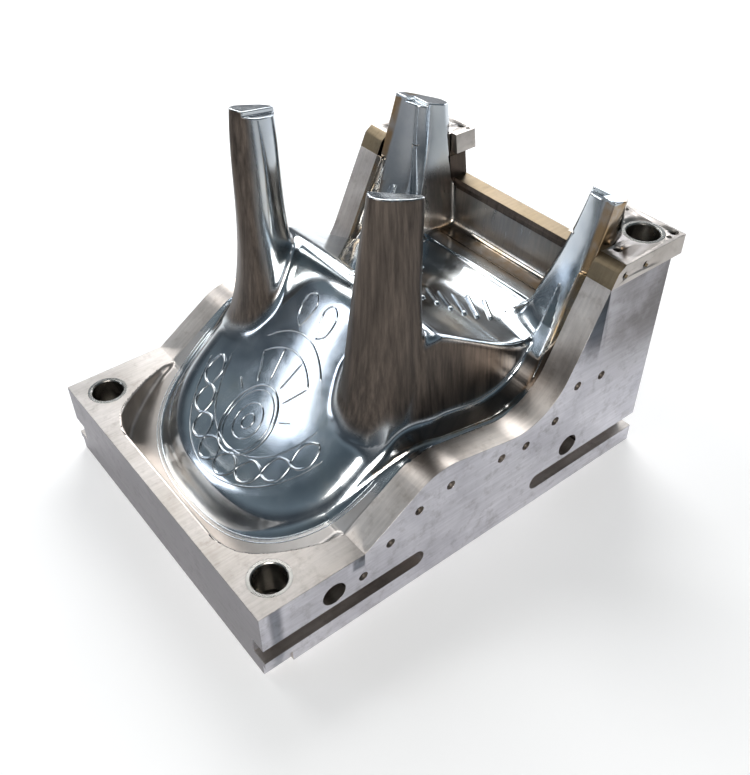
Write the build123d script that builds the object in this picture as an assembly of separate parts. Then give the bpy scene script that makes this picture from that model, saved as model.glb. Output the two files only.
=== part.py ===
"""Core half of an injection mould for a one-piece plastic armchair.

The chair is moulded upside down, with its legs up. The steel core block carries, as one piece,
the back of the backrest (the low dome), the underside of the seat, the shut-off walls under the
armrests, and four tapered leg posts. Its parting surface is flat at the low end, rises in an
S along both sides, and ends in two high shoulders with a trough between them.

Millimetres, +Z up. X is the long way, from the low (backrest) end to the high (front-leg) end,
and the part is symmetrical about the XZ plane. The origin is at the middle of the part's base.
A station is a distance from the low end, and a half width a distance from the middle plane.
"""

from build123d import *
from math import atan, atan2, cos, degrees, exp, log, radians, sin, tan
import os

# Block
BLOCK_LENGTH = 930.0
BLOCK_WIDTH = 720.0
FLAT_HEIGHT = 163.0              # guide plane at the low end
SEAT_PLANE_HEIGHT = 461.0        # where the shoulder plates are bolted on
PLATE_THICKNESS = 41.0
PLATE_LIP = 30.0                 # how far a plate overhangs the high end
PLATE_CHAMFER = 12.0             # on its upper low-end edge

# S-shaped parting surface
RAMP_START = 213.0
RAMP_SLOPE = 0.64
CREST_STATION = 373.0            # where ramp and fall would meet
DIP_STATION = 645.0              # where fall and sweep would meet
DIP_FALL = 58.5                  # height between those two
CREST_RADIUS = 118.0
DIP_RADIUS = 125.0
SWEEP_TOP_STATION = 765.0        # at the height of the plates' seat

# Sunk land round the backrest's rim
LAND_SLOPE = 0.47
LAND_LOW_STATION = 70.0
LAND_END_SLOPE = 0.12
POCKET_START = 28.0
POCKET_CORNER_HALF_WIDTH = 190.0
POCKET_CORNER_RADIUS = 45.0
POCKET_HALF_WIDTH = 306.0
POCKET_DRAFT = 7.0

# Backrest dome and seat
RIM_STATION = 80.0
RIM_LENGTH = 250.0               # from the rim's end to its full width
RIM_HALF_WIDTH = 265.0
RIM_POST_STATION = 342.0         # where the rim passes under the rear posts
RIM_POST_HALF_WIDTH = 244.0
RIM_LEAN = 0.1                   # of the dome's steep flank
RIM_POWER = 2.5                  # a superellipse in plan
RIM_BOTTOM = 60.0
RIM_STEPS = 12                   # points on each quarter of the rim
BACK_LOW_HEIGHT = 138.0          # crown height just inside the rim
BACK_MIDDLE_STATION = 213.0
BACK_MIDDLE_HEIGHT = 208.0
RIDGE_STATION = 446.0            # where back and seat would meet
RIDGE_HEIGHT = 464.0
RIDGE_SOFTNESS = 16.0
SEAT_SLOPE = 0.60
SEAT_FRONT_STATION = 668.0
SEAT_FRONT_SLOPE = 0.10
SEAT_FRONT_SOFTNESS = 6.0
SEAT_END_STATION = 820.0         # parting line along the seat's front edge
SEAT_CROWN = 10.0
DOME_CROWN_START = 190.0
DOME_CROWN_SLOPE = 0.22          # how its crown grows along the backrest
SURFACE_STEP = 20.0              # spacing of the points that the surface passes
SURFACE_TOLERANCE = 0.5

# Armrest band between the parting line and the shut-off wall
BAND_OUTER_HALF_WIDTH = 302.0
BAND_INNER_HALF_WIDTH = 248.0
BAND_RISE = 6.0
BAND_START = 272.0
BAND_FULL_STATION = 430.0

# Shut-off wall under the armrest
WALL_START = 385.0
WALL_END = 705.0
WALL_DRAFT = 3.5
WALL_FOOT_HEIGHT = 262.0
WALL_SINK = 62.0                 # how far the walls run on below their feet

# Trough between the shoulders
TROUGH_HALF_WIDTH = 189.0        # at the ledge
TROUGH_DRAFT = 8.0
TROUGH_FLOOR = 308.0
CROSS_WALL_FOOT = 880.0
CROSS_WALL_TOP = 889.0
LEDGE_HEIGHT = 411.0
LEDGE_CHAMFER = 8.0

# Leg posts, whose tops all lie in the plane that the chair's feet stand on
FEET_STATION = 400.0
FEET_HEIGHT = 706.0              # of that plane at that station
FEET_FALL = 0.277                # its slope towards the high end
TIP_STEP = 9.0                   # the lower part of each top
REAR_POST_ROUNDING = 8.0
FRONT_POST_ROUNDING = 5.0
REAR_POST_SECTIONS = [           # height, then stations and half widths
    (265, [(302, 205), (314, 238), (368, 247), (455, 247), (495, 222), (505, 170), (450, 110),
           (350, 105), (310, 150)]),
    (395, [(328, 175), (342, 215), (388, 239), (438, 239), (458, 222), (458, 180), (435, 140),
           (370, 125), (338, 140)]),
    (500, [(335, 179), (350, 212), (392, 233), (434, 233), (452, 215), (449, 180), (425, 150),
           (380, 138), (348, 150)]),
    (600, [(342, 185), (358, 212), (400, 227), (436, 227), (455, 212), (446, 185), (422, 162),
           (385, 152), (354, 162)]),
    (730, [(356, 199), (373, 215), (405, 219), (438, 219), (457, 214), (440, 194), (417, 179),
           (392, 168), (368, 176)]),
]
FRONT_POST_SECTIONS = [
    (280, [(696, 298), (702, 274), (708, 226), (740, 192), (850, 186), (912, 215), (912, 250),
           (872, 288), (800, 302)]),
    (400, [(742, 300), (751, 275), (757, 230), (785, 206), (850, 197), (906, 215), (914, 250),
           (872, 288), (800, 303)]),
    (502, [(779, 300), (788, 276), (790, 238), (822, 215), (868, 208), (902, 220), (912, 250),
           (872, 284), (831, 302)]),
    (610, [(817, 300), (821, 272), (823, 246), (849, 226), (882, 222), (901, 240), (892, 264),
           (868, 290), (845, 302)]),
]

# Guide bushes
LOW_BUSH_STATION = 60.0
LOW_BUSH_INSET = 60.0
HIGH_BUSH_STATION = 905.0
HIGH_BUSH_INSET = 53.0
BUSH_BORE_RADIUS = 31.0
BUSH_BODY_RADIUS = 36.0
BUSH_HEAD_RADIUS = 39.5
BUSH_HEAD_HEIGHT = 8.0
BUSH_LENGTH = 72.0
BUSH_CLEARANCE = 0.02
PILLAR_WELL = 10.0               # room for the guide pillar's end under each bush

# Cooling ports and their plugs
PORTS = [(209, 107), (269, 150), (333, 189), (405, 205), (530, 192), (594, 185), (669, 204),
         (719, 265), (787, 256)]
PORT_RADIUS = 9.5
PORT_DEPTH = 70.0
PLUG_RECESS = 6.0
PLUG_LENGTH = 16.0
PLUG_CLEARANCE = 0.02
SOCKET_RADIUS = 4.6
SOCKET_DEPTH = 8.0

# Lifting holes, clamp slots and pry notches
LIFT_STATIONS = (147.0, 721.0)
LIFT_HEIGHT = 109.0
LIFT_RADIUS = 24.0
LIFT_DEPTH = 80.0
SLOT_BOTTOM = 40.0
SLOT_HEIGHT = 37.0
SLOT_DEPTH = 34.0
LOW_SLOT_END = 347.0
HIGH_SLOT_START = 622.0
NOTCH_LENGTH = 55.0
NOTCH_HEIGHT = 26.0
NOTCH_DEPTH = 8.0

# Screws and dowels of the shoulder plates: station and inset from the side face
PLATE_SCREWS = [(823, 43), (947, 17), (945, 130)]
PLATE_DOWELS = [(927, 12), (948, 148)]
SCREW_RADIUS = 6.0
SCREW_HEAD_RADIUS = 9.0
SCREW_HEAD_HEIGHT = 12.0
SCREW_HEAD_SINK = 3.0
SCREW_LENGTH = 70.0
DOWEL_RADIUS = 5.0
DOWEL_LENGTH = 60.0
DOWEL_SINK = 1.0
LIP_SETBACK = 1.0  # from the end of a fastener in the plate's lip to its underside
HOLE_CLEARANCE = 0.05
SIDE_SCREWS = [(798, 479), (853, 480)]
SIDE_SCREW_RADIUS = 8.0
SIDE_SCREW_LENGTH = 14.0
SIDE_SCREW_RECESS = 5.0
SIDE_SCREW_DEPTH = 30.0

# Medallion and gate bush
MEDALLION_STATION = 213.0
MEDALLION_RADIUS = 61.0
MEDALLION_BOTTOM = 110.0
MEDALLION_RING = 6.0             # width of its raised rim
MEDALLION_BOSS_RADIUS = 30.0
RELIEF_RISE = 3.0                # of the rim and of all the ornament above the dome
GATE_STATION = 468.0
GATE_RADIUS = 9.0
GATE_BORE_RADIUS = 4.5
GATE_LENGTH = 40.0

# Ornament of the backrest: a chain of rings, a fan of ribs and two arcs, round the medallion
CHAIN_RINGS = [(137, 0), (143, 44), (160, 84), (186, 118), (222, 146), (262, 166)]
CHAIN_RADIUS = 23.0
CHAIN_WIDTH = 7.0
FAN_ANGLES = (14.0, 38.0, 64.0)  # from the long axis, to both sides
FAN_INNER = 70.0
ARC_RADII = (118.0, 142.0)
ARC_SPAN = 38.0                  # half angle
RIB_WIDTH = 4.0

# Ridges that mould the seat's drain slots: the ends of each, as station and half width
SEAT_RIDGES = [((556, 142), (655, 68)), ((590, 150), (680, 88)), ((620, 160), (690, 112)),
               ((646, 172), (702, 138)), ((622, 40), (690, 6))]
SEAT_RIDGE_WIDTH = 11.0

LOW_END = -(BLOCK_LENGTH + PLATE_LIP) / 2
HALF_WIDTH = BLOCK_WIDTH / 2
PLATE_TOP = SEAT_PLANE_HEIGHT + PLATE_THICKNESS
CREST_HEIGHT = FLAT_HEIGHT + RAMP_SLOPE * (CREST_STATION - RAMP_START)
DIP_HEIGHT = CREST_HEIGHT - DIP_FALL
SWEEP_SLOPE = (SEAT_PLANE_HEIGHT - DIP_HEIGHT) / (SWEEP_TOP_STATION - DIP_STATION)
FEET_LEAN = degrees(atan(FEET_FALL))
SKY = FEET_HEIGHT + 60.0         # above everything


def at(station, y, z):
    """A point by its station, its place across and its height."""
    return Vector(LOW_END + station, y, z)


def across(outline_wire, width):
    """A solid of full width from an outline in the XZ plane."""
    return extrude(make_face(outline_wire), width / 2, both=True)


def side_polygon(points):
    """A closed outline in the XZ plane, from stations and heights."""
    return Polyline([at(s, 0, z) for s, z in points], close=True)


def both_sides(solid):
    return [solid, mirror(solid, Plane.XZ)]


def parting_outline(rise, low_height):
    """The S profile, lifted by rise, closed at the bottom by low_height."""
    shift = -rise / 2
    top = FilletPolyline(
        at(RAMP_START + shift, 0, FLAT_HEIGHT + rise),
        at(CREST_STATION + shift, 0, CREST_HEIGHT + rise),
        at(DIP_STATION + shift, 0, DIP_HEIGHT + rise),
        at(SWEEP_TOP_STATION + shift, 0, SEAT_PLANE_HEIGHT + rise),
        radius=[CREST_RADIUS, DIP_RADIUS],
    )
    high = SEAT_PLANE_HEIGHT + rise
    close = Polyline(
        at(SWEEP_TOP_STATION + shift, 0, high),
        at(BLOCK_LENGTH, 0, high),
        at(BLOCK_LENGTH, 0, low_height),
        at(0, 0, low_height),
        at(0, 0, FLAT_HEIGHT + rise),
        at(RAMP_START + shift, 0, FLAT_HEIGHT + rise),
    )
    return top + close


def land_height(s):
    """Height of the parting surface next to the dome's rim."""
    if s < RAMP_START:
        return FLAT_HEIGHT - LAND_SLOPE * (RAMP_START - s)
    return min(FLAT_HEIGHT + RAMP_SLOPE * (s - RAMP_START), CREST_HEIGHT - DIP_FALL / 6)


def soft_min(a, b, k):
    m = min(a, b)
    return m - k * log(exp((m - a) / k) + exp((m - b) / k))


def soft_step(s, middle, width):
    return 1 / (1 + exp(-(s - middle) / width))


def centre_height(s):
    """Height of the chair's surface along the middle plane: back, ridge, seat, front."""
    low_slope = (BACK_MIDDLE_HEIGHT - BACK_LOW_HEIGHT) / (BACK_MIDDLE_STATION - RIM_STATION)
    high_slope = (RIDGE_HEIGHT - BACK_MIDDLE_HEIGHT) / (RIDGE_STATION - BACK_MIDDLE_STATION)
    bend = (high_slope - low_slope) / (RIDGE_STATION - RIM_STATION)
    back = BACK_LOW_HEIGHT + low_slope * (s - RIM_STATION)
    back += bend * (s - RIM_STATION) * (s - BACK_MIDDLE_STATION)
    seat = RIDGE_HEIGHT - SEAT_SLOPE * (s - RIDGE_STATION)
    front = RIDGE_HEIGHT - SEAT_SLOPE * (SEAT_FRONT_STATION - RIDGE_STATION)
    front -= SEAT_FRONT_SLOPE * (s - SEAT_FRONT_STATION)
    seat = -soft_min(-seat, -front, SEAT_FRONT_SOFTNESS)
    return soft_min(back, seat, RIDGE_SOFTNESS)


def chair_height(s, y):
    """Height of the freeform surface of dome and seat."""
    on_seat = soft_step(s, RIDGE_STATION - 26, 14)
    crown = DOME_CROWN_SLOPE * max(s - DOME_CROWN_START, 0)
    crown += (SEAT_CROWN - crown) * on_seat
    return centre_height(s) - crown * (y / RIM_HALF_WIDTH) ** 2


def rim_outline(z):
    """The dome's outline in plan at one height, a superellipse that runs on under the posts."""
    inset = RIM_LEAN * (z - RIM_BOTTOM)
    along, beside = RIM_LENGTH - inset, RIM_HALF_WIDTH - inset
    middle = RIM_STATION + RIM_LENGTH
    quarter = []
    for i in range(RIM_STEPS + 1):
        turn = radians(90 * i / RIM_STEPS)
        s = middle - along * abs(cos(turn)) ** (2 / RIM_POWER)
        quarter.append((s, beside * sin(turn) ** (2 / RIM_POWER)))
    edge = [at(s, -v, z) for s, v in quarter[::-1]] + [at(s, v, z) for s, v in quarter[1:]]
    end = WALL_START + 10
    narrow = RIM_POST_HALF_WIDTH - inset
    back = Polyline(
        edge[-1], at(RIM_POST_STATION, beside, z), at(RIM_POST_STATION, narrow, z),
        at(end, narrow, z), at(end, -narrow, z), at(RIM_POST_STATION, -narrow, z),
        at(RIM_POST_STATION, -beside, z), edge[0],
    )
    return make_face(Spline(edge) + back)


def chair_space():
    """Everything below the chair's freeform surface, before any trim."""
    first, last = RIM_STATION - 2 * SURFACE_STEP, SEAT_END_STATION + SURFACE_STEP
    widest = RIM_HALF_WIDTH + SURFACE_STEP
    rows = round((last - first) / SURFACE_STEP)
    columns = round(2 * widest / SURFACE_STEP)
    grid = []
    for i in range(rows + 1):
        s = first + (last - first) * i / rows
        places = [-widest + 2 * widest * j / columns for j in range(columns + 1)]
        grid.append([at(s, y, chair_height(s, y)) for y in places])
    skin = Face.make_surface_from_array_of_points(grid, tol=SURFACE_TOLERANCE)
    return Solid.extrude(skin, Vector(0, 0, -SKY))


def chair_body(space):
    """Dome and seat: the space below the freeform surface, trimmed in plan."""
    dome = space & loft([rim_outline(RIM_BOTTOM), rim_outline(RIDGE_HEIGHT)])
    foot = Plane.XY.offset(WALL_FOOT_HEIGHT - WALL_SINK)
    middle = Pos(LOW_END + (WALL_END + WALL_START) / 2, 0)
    walls = extrude(
        foot * middle * Rectangle(WALL_END - WALL_START, 2 * wall_half_width(foot.origin.Z)),
        SKY - foot.origin.Z,
        taper=WALL_DRAFT,
    )
    front = trough_space(SEAT_FRONT_STATION) & plan_box(DIP_STATION, SEAT_END_STATION, 500)
    return [dome, space & walls, space & front]


def plan_box(start, end, width):
    """A tall box from station to station, from well below the land up."""
    low = FLAT_HEIGHT / 4
    return Pos(at((start + end) / 2, 0, (low + SKY) / 2)) * Box(end - start, width, SKY - low)


def trough_space(start):
    """The drafted space between the shoulders, from a station to past the high end."""
    drop = TROUGH_FLOOR - 60
    narrow = TROUGH_HALF_WIDTH - (LEDGE_HEIGHT - drop) * tan(radians(TROUGH_DRAFT))
    reach = BLOCK_LENGTH + 200 - start
    return extrude(
        Plane.XY.offset(drop) * Pos(LOW_END + start + reach / 2, 0) * Rectangle(reach, 2 * narrow),
        SKY - drop,
        taper=-TROUGH_DRAFT,
    )


def trough_cut():
    """The trough with its cross wall and ledge, as one cutter."""
    start = DIP_STATION
    profile = side_polygon([
        (start, TROUGH_FLOOR), (CROSS_WALL_FOOT, TROUGH_FLOOR),
        (CROSS_WALL_TOP, LEDGE_HEIGHT - LEDGE_CHAMFER),
        (CROSS_WALL_TOP + LEDGE_CHAMFER / 2, LEDGE_HEIGHT),
        (BLOCK_LENGTH + 200, LEDGE_HEIGHT), (BLOCK_LENGTH + 200, SKY), (start, SKY),
    ])
    return across(profile, BLOCK_WIDTH) & trough_space(start)


def pocket_cut():
    """The sunk land round the backrest's rim."""
    end = RAMP_START
    outline = FilletPolyline(
        at(end, -POCKET_HALF_WIDTH, 0),
        at(POCKET_START, -POCKET_CORNER_HALF_WIDTH, 0),
        at(POCKET_START, POCKET_CORNER_HALF_WIDTH, 0),
        at(end, POCKET_HALF_WIDTH, 0),
        radius=POCKET_CORNER_RADIUS,
    )
    outline += Line(at(end, POCKET_HALF_WIDTH, 0), at(end, -POCKET_HALF_WIDTH, 0))
    plan = make_face(outline)
    depth = FLAT_HEIGHT - 20
    well = extrude(Plane.XY.offset(FLAT_HEIGHT) * plan, -depth, taper=POCKET_DRAFT)
    low = FLAT_HEIGHT - LAND_SLOPE * (RAMP_START - LAND_LOW_STATION)
    above = side_polygon([
        (RAMP_START, FLAT_HEIGHT), (LAND_LOW_STATION, low),
        (0, low - LAND_END_SLOPE * LAND_LOW_STATION), (0, FLAT_HEIGHT + 1),
        (RAMP_START, FLAT_HEIGHT + 1),
    ])
    wide = across(above, BLOCK_WIDTH)
    return wide & well


def wall_half_width(z):
    return BAND_INNER_HALF_WIDTH - (z - WALL_FOOT_HEIGHT) * tan(radians(WALL_DRAFT))


def section(points, z, rounding):
    """A post's section at one height, with rounded corners, from stations and half widths."""
    return make_face(FilletPolyline(*[at(s, -v, z) for s, v in points], radius=rounding, close=True))


def post_body(sections, rounding):
    """A post through its sections, cut off by the plane of the feet."""
    return loft([section(points, z, rounding) for z, points in sections]) - above_feet(0)


def above_feet(drop):
    """Everything above the feet's plane lowered by drop, as a cutter."""
    high = SKY
    place = Pos(at(FEET_STATION, 0, FEET_HEIGHT - drop)) * Rot(0, FEET_LEAN, 0)
    return place * Pos(0, 0, high / 2) * Box(4 * BLOCK_LENGTH, 2 * BLOCK_WIDTH, high)


def rear_post():
    """A leg post on the near side, with its outer face in line with the shut-off wall."""
    post = post_body(REAR_POST_SECTIONS, REAR_POST_ROUNDING)
    lower = Pos(at(437, -167, FEET_HEIGHT)) * Rot(0, 0, 40) * Box(50, 40, 4 * TIP_STEP)
    return post - (lower & above_feet(TIP_STEP))


def front_post():
    """A leg post on the near side that grows out of the shoulder."""
    post = post_body(FRONT_POST_SECTIONS, FRONT_POST_ROUNDING)
    lower = Pos(at(812, -250, FEET_HEIGHT - 100)) * Box(30, 66, 8 * TIP_STEP)
    return post - (lower & above_feet(TIP_STEP))


def armrest_band():
    """The raised band of one armrest, outside the shut-off wall."""
    inner = BAND_INNER_HALF_WIDTH - 30
    plan = Polyline(
        at(BAND_START, -RIM_HALF_WIDTH + 5, 0),
        at((BAND_START + BAND_FULL_STATION) / 2, -(RIM_HALF_WIDTH + BAND_OUTER_HALF_WIDTH) / 2, 0),
        at(BAND_FULL_STATION, -BAND_OUTER_HALF_WIDTH, 0),
        at(DIP_STATION, -BAND_OUTER_HALF_WIDTH, 0),
        at(SWEEP_TOP_STATION - 15, -BAND_OUTER_HALF_WIDTH + 18, 0),
        at(SWEEP_TOP_STATION - 15, -inner, 0),
        at(BAND_START, -inner, 0),
        close=True,
    )
    prism = extrude(make_face(plan), SEAT_PLANE_HEIGHT - 2)
    return prism & across(parting_outline(BAND_RISE, 0), BLOCK_WIDTH)


def side_hole(s, z, radius, depth):
    """A blind hole in the near side face."""
    return Pos(at(s, -HALF_WIDTH + depth / 2, z)) * Rot(90, 0, 0) * Cylinder(radius, depth)


def clamp_slots():
    """Two clamp slots along the foot of the near side, open at the block's ends."""
    cuts = []
    for start, end in ((-20, LOW_SLOT_END), (HIGH_SLOT_START, BLOCK_LENGTH + 20)):
        middle = SLOT_BOTTOM + SLOT_HEIGHT / 2
        bar = Pos(at((start + end) / 2, -HALF_WIDTH + SLOT_DEPTH / 2 - 10, middle)) * Box(
            end - start, SLOT_DEPTH + 20, SLOT_HEIGHT
        )
        inner = [e for e in bar.edges().filter_by(Axis.Y)
                 if (e.center().X - bar.center().X) * (1 if start < 0 else -1) > 0]
        cuts.append(fillet(inner, SLOT_HEIGHT / 2 - 0.1))
    return cuts


def bush(length):
    """A headed guide bush, its head's face at z = 0."""
    body = Pos(0, 0, -length / 2) * Cylinder(BUSH_BODY_RADIUS, length)
    head = Pos(0, 0, -BUSH_HEAD_HEIGHT / 2) * Cylinder(BUSH_HEAD_RADIUS, BUSH_HEAD_HEIGHT)
    shape = body + head - Pos(0, 0, -length / 2) * Cylinder(BUSH_BORE_RADIUS, length + 2)
    mouth = shape.edges().filter_by(GeomType.CIRCLE).group_by(Axis.Z)[-1].sort_by(SortBy.RADIUS)[0]
    return chamfer(mouth, 2.0)


def bush_seat(length):
    """The counterbored hole that a bush is pressed into, with a well for the pillar."""
    deep = length + PILLAR_WELL
    hole = Pos(0, 0, -length / 2 + 50) * Cylinder(BUSH_BODY_RADIUS + BUSH_CLEARANCE, length + 100)
    hole += Pos(0, 0, 50 - BUSH_HEAD_HEIGHT / 2) * Cylinder(
        BUSH_HEAD_RADIUS + BUSH_CLEARANCE, BUSH_HEAD_HEIGHT + 100
    )
    return hole + Pos(0, 0, -deep / 2) * Cylinder(BUSH_BORE_RADIUS + 1, deep)


def socket_plug(radius, length):
    """A plug along +Y whose socket opens at y = 0."""
    body = Pos(0, length / 2, 0) * Rot(90, 0, 0) * Cylinder(radius, length)
    key = Plane.XZ * RegularPolygon(SOCKET_RADIUS, 6)
    return body - extrude(key, -SOCKET_DEPTH)


def held_length(s, full, sink):
    """A fastener's length: beyond the block's end it stops inside the plate's lip."""
    return full if s < BLOCK_LENGTH else PLATE_THICKNESS - sink - LIP_SETBACK


def cap_screw(length):
    """A socket head cap screw, its head's face at z = 0."""
    head = Pos(0, 0, -SCREW_HEAD_HEIGHT / 2) * Cylinder(SCREW_HEAD_RADIUS, SCREW_HEAD_HEIGHT)
    shank = Pos(0, 0, -length / 2) * Cylinder(SCREW_RADIUS, length)
    return head + shank - extrude(RegularPolygon(SOCKET_RADIUS, 6), -SCREW_HEAD_HEIGHT / 2)


def screw_hole(length):
    """The counterbored hole of a cap screw, from z = SCREW_HEAD_SINK down."""
    top = SCREW_HEAD_SINK + 1
    head = SCREW_HEAD_HEIGHT + top
    hole = Pos(0, 0, top - head / 2) * Cylinder(SCREW_HEAD_RADIUS + HOLE_CLEARANCE, head)
    deep = length + 4
    return hole + Pos(0, 0, -deep / 2) * Cylinder(SCREW_RADIUS + HOLE_CLEARANCE, deep)


def dome_frame(s, y):
    """A plane that lies on the chair's surface, its normal outwards."""
    step = 1.0
    here = at(s, y, chair_height(s, y))
    along = at(s + step, y, chair_height(s + step, y)) - here
    beside = at(s, y + step, chair_height(s, y + step)) - here
    return Plane(origin=here, x_dir=along.normalized(), z_dir=along.cross(beside).normalized())


def upright(outline):
    """A prism from well inside the block to the sky, from an outline in plan."""
    return extrude(Plane.XY.offset(MEDALLION_BOTTOM) * outline, SKY)


def medallion_place():
    return Pos(at(MEDALLION_STATION, 0, 0))


def medallion(space):
    """A plain round insert that follows the dome, with a raised rim and a raised boss."""
    rim = Circle(MEDALLION_RADIUS) - Circle(MEDALLION_RADIUS - MEDALLION_RING)
    raised = medallion_place() * (rim + Circle(MEDALLION_BOSS_RADIUS))
    plug = upright(medallion_place() * Circle(MEDALLION_RADIUS)) & space
    return plug + (upright(raised) & Pos(0, 0, RELIEF_RISE) * space)


def rib(start, end, width):
    """A straight rib's outline in plan, between two points."""
    run = end - start
    place = Pos((start + end) * 0.5) * Rot(0, 0, degrees(atan2(run.Y, run.X)))
    return place * Rectangle(run.length, width)


def ornament(space):
    """The raised ornament of backrest and seat, following their surface."""
    outlines = []
    for s, v in CHAIN_RINGS:
        ring = Circle(CHAIN_RADIUS) - Circle(CHAIN_RADIUS - CHAIN_WIDTH)
        outlines += [Pos(at(s, y, 0)) * ring for y in sorted({-v, v})]
    centre = at(MEDALLION_STATION, 0, 0)
    for angle in FAN_ANGLES:
        for turn in (radians(-angle), radians(angle)):
            way = Vector(cos(turn), sin(turn))
            outlines.append(rib(centre + way * FAN_INNER, centre + way * ARC_RADII[0], RIB_WIDTH))
    reach = 2 * ARC_RADII[1]
    side = reach * tan(radians(ARC_SPAN))
    wedge = make_face(Polyline((0, 0), (reach, side), (reach, -side), close=True))
    for radius in ARC_RADII:
        ring = Circle(radius + RIB_WIDTH) - Circle(radius)
        outlines.append(medallion_place() * (ring & wedge))
    for start, end in SEAT_RIDGES:
        for side in (-1, 1):
            ends = [at(s, side * v, 0) for s, v in (start, end)]
            outlines.append(rib(*ends, SEAT_RIDGE_WIDTH))
    drawing = outlines[0]
    for outline in outlines[1:]:
        drawing += outline
    return upright(drawing) & Pos(0, 0, RELIEF_RISE) * space


def plate_blank():
    """A shoulder plate on the near side, before its holes."""
    high = PLATE_TOP
    start = SWEEP_TOP_STATION
    lean = (PLATE_THICKNESS - PLATE_CHAMFER) / SWEEP_SLOPE
    profile = side_polygon([
        (start, SEAT_PLANE_HEIGHT), (start + lean, high - PLATE_CHAMFER),
        (start + lean + PLATE_CHAMFER * 1.4, high), (BLOCK_LENGTH + PLATE_LIP, high),
        (BLOCK_LENGTH + PLATE_LIP, SEAT_PLANE_HEIGHT),
    ])
    near = Pos(0, -HALF_WIDTH, 0) * Box(BLOCK_LENGTH * 2, BLOCK_WIDTH, SKY * 2)
    return (across(profile, BLOCK_WIDTH) & near) - trough_space(DIP_STATION)


def bush_places():
    low = (LOW_BUSH_STATION, HALF_WIDTH - LOW_BUSH_INSET, FLAT_HEIGHT)
    high = (HIGH_BUSH_STATION, HALF_WIDTH - HIGH_BUSH_INSET, PLATE_TOP)
    return {"low": low, "high": high}


def core_block(space, post_pair):
    """The whole core, cut from one block of steel."""
    block = across(parting_outline(0, 0), BLOCK_WIDTH)
    block -= pocket_cut()
    block -= trough_cut()
    for part in chair_body(space) + both_sides(armrest_band()) + [ornament(space)] + post_pair:
        block += part
    for s, y, z in bush_places().values():
        block -= both_sides(Pos(at(s, -y, z)) * bush_seat(BUSH_LENGTH))
    cuts = clamp_slots()
    for s, z in PORTS:
        cuts.append(side_hole(s, z, PORT_RADIUS + PLUG_CLEARANCE, PORT_DEPTH))
    for s in LIFT_STATIONS:
        cuts.append(side_hole(s, LIFT_HEIGHT, LIFT_RADIUS, LIFT_DEPTH))
    notch = Pos(at(NOTCH_LENGTH / 2, -HALF_WIDTH + NOTCH_DEPTH / 2, NOTCH_HEIGHT / 2))
    cuts.append(notch * Box(NOTCH_LENGTH, NOTCH_DEPTH, NOTCH_HEIGHT))
    for s, inset in PLATE_SCREWS:
        place = Pos(at(s, inset - HALF_WIDTH, PLATE_TOP - SCREW_HEAD_SINK))
        cuts.append(place * screw_hole(held_length(s, SCREW_LENGTH, SCREW_HEAD_SINK)))
    for s, inset in PLATE_DOWELS:
        cuts.append(dowel_hole(s, inset))
    for cut in cuts:
        block -= both_sides(cut)
    block -= upright(medallion_place() * Circle(MEDALLION_RADIUS + HOLE_CLEARANCE))
    return block - gate_frame() * Cylinder(GATE_RADIUS + HOLE_CLEARANCE, GATE_LENGTH)


def gate_frame():
    return dome_frame(GATE_STATION, 0).location * Pos(0, 0, -GATE_LENGTH / 2 + 0.5)


def dowel_hole(s, inset):
    length = held_length(s, DOWEL_LENGTH, DOWEL_SINK) + DOWEL_SINK + 1 + LIP_SETBACK + 1
    place = Pos(at(s, inset - HALF_WIDTH, PLATE_TOP + 1 - length / 2))
    return place * Cylinder(DOWEL_RADIUS + HOLE_CLEARANCE, length)


def near_pieces(posts):
    """Every loose piece of the near side, by name."""
    pieces = {}
    for end, (s, y, z) in bush_places().items():
        pieces["guide_bush_" + end] = Pos(at(s, -y, z)) * bush(BUSH_LENGTH)
    plate = (plate_blank() - posts[1]).solids().sort_by(SortBy.VOLUME)[-1]
    s, y, z = bush_places()["high"]
    plate -= Pos(at(s, -y, z)) * bush_seat(BUSH_LENGTH)
    for i, (s, inset) in enumerate(PLATE_SCREWS):
        place = Pos(at(s, inset - HALF_WIDTH, PLATE_TOP - SCREW_HEAD_SINK))
        length = held_length(s, SCREW_LENGTH, SCREW_HEAD_SINK)
        plate -= place * screw_hole(length)
        pieces["plate_screw_%d" % (i + 1)] = place * cap_screw(length)
    for i, (s, inset) in enumerate(PLATE_DOWELS):
        plate -= dowel_hole(s, inset)
        length = held_length(s, DOWEL_LENGTH, DOWEL_SINK)
        place = Pos(at(s, inset - HALF_WIDTH, PLATE_TOP - DOWEL_SINK - length / 2))
        pieces["plate_dowel_%d" % (i + 1)] = place * Cylinder(DOWEL_RADIUS, length)
    for i, (s, z) in enumerate(SIDE_SCREWS):
        plate -= side_hole(s, z, SIDE_SCREW_RADIUS + HOLE_CLEARANCE, SIDE_SCREW_DEPTH)
        plug = socket_plug(SIDE_SCREW_RADIUS, SIDE_SCREW_LENGTH)
        pieces["side_screw_%d" % (i + 1)] = Pos(at(s, SIDE_SCREW_RECESS - HALF_WIDTH, z)) * plug
    for i, (s, z) in enumerate(PORTS):
        plug = socket_plug(PORT_RADIUS, PLUG_LENGTH)
        pieces["cooling_plug_%d" % (i + 1)] = Pos(at(s, PLUG_RECESS - HALF_WIDTH, z)) * plug
    pieces["shoulder_plate"] = plate
    return pieces


def build():
    """All pieces by node name."""
    posts = [rear_post(), front_post()]
    space = chair_space()
    pair = [side for post in posts for side in both_sides(post)]
    pieces = {"core_block": core_block(space, pair)}
    for name, piece in near_pieces(posts).items():
        pieces[name + "_near"], pieces[name + "_far"] = both_sides(piece)
    pieces["medallion_insert"] = medallion(space)
    bore = Cylinder(GATE_BORE_RADIUS, GATE_LENGTH + 2)
    pieces["gate_bush"] = gate_frame() * (Cylinder(GATE_RADIUS, GATE_LENGTH) - bore)
    return pieces


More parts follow.
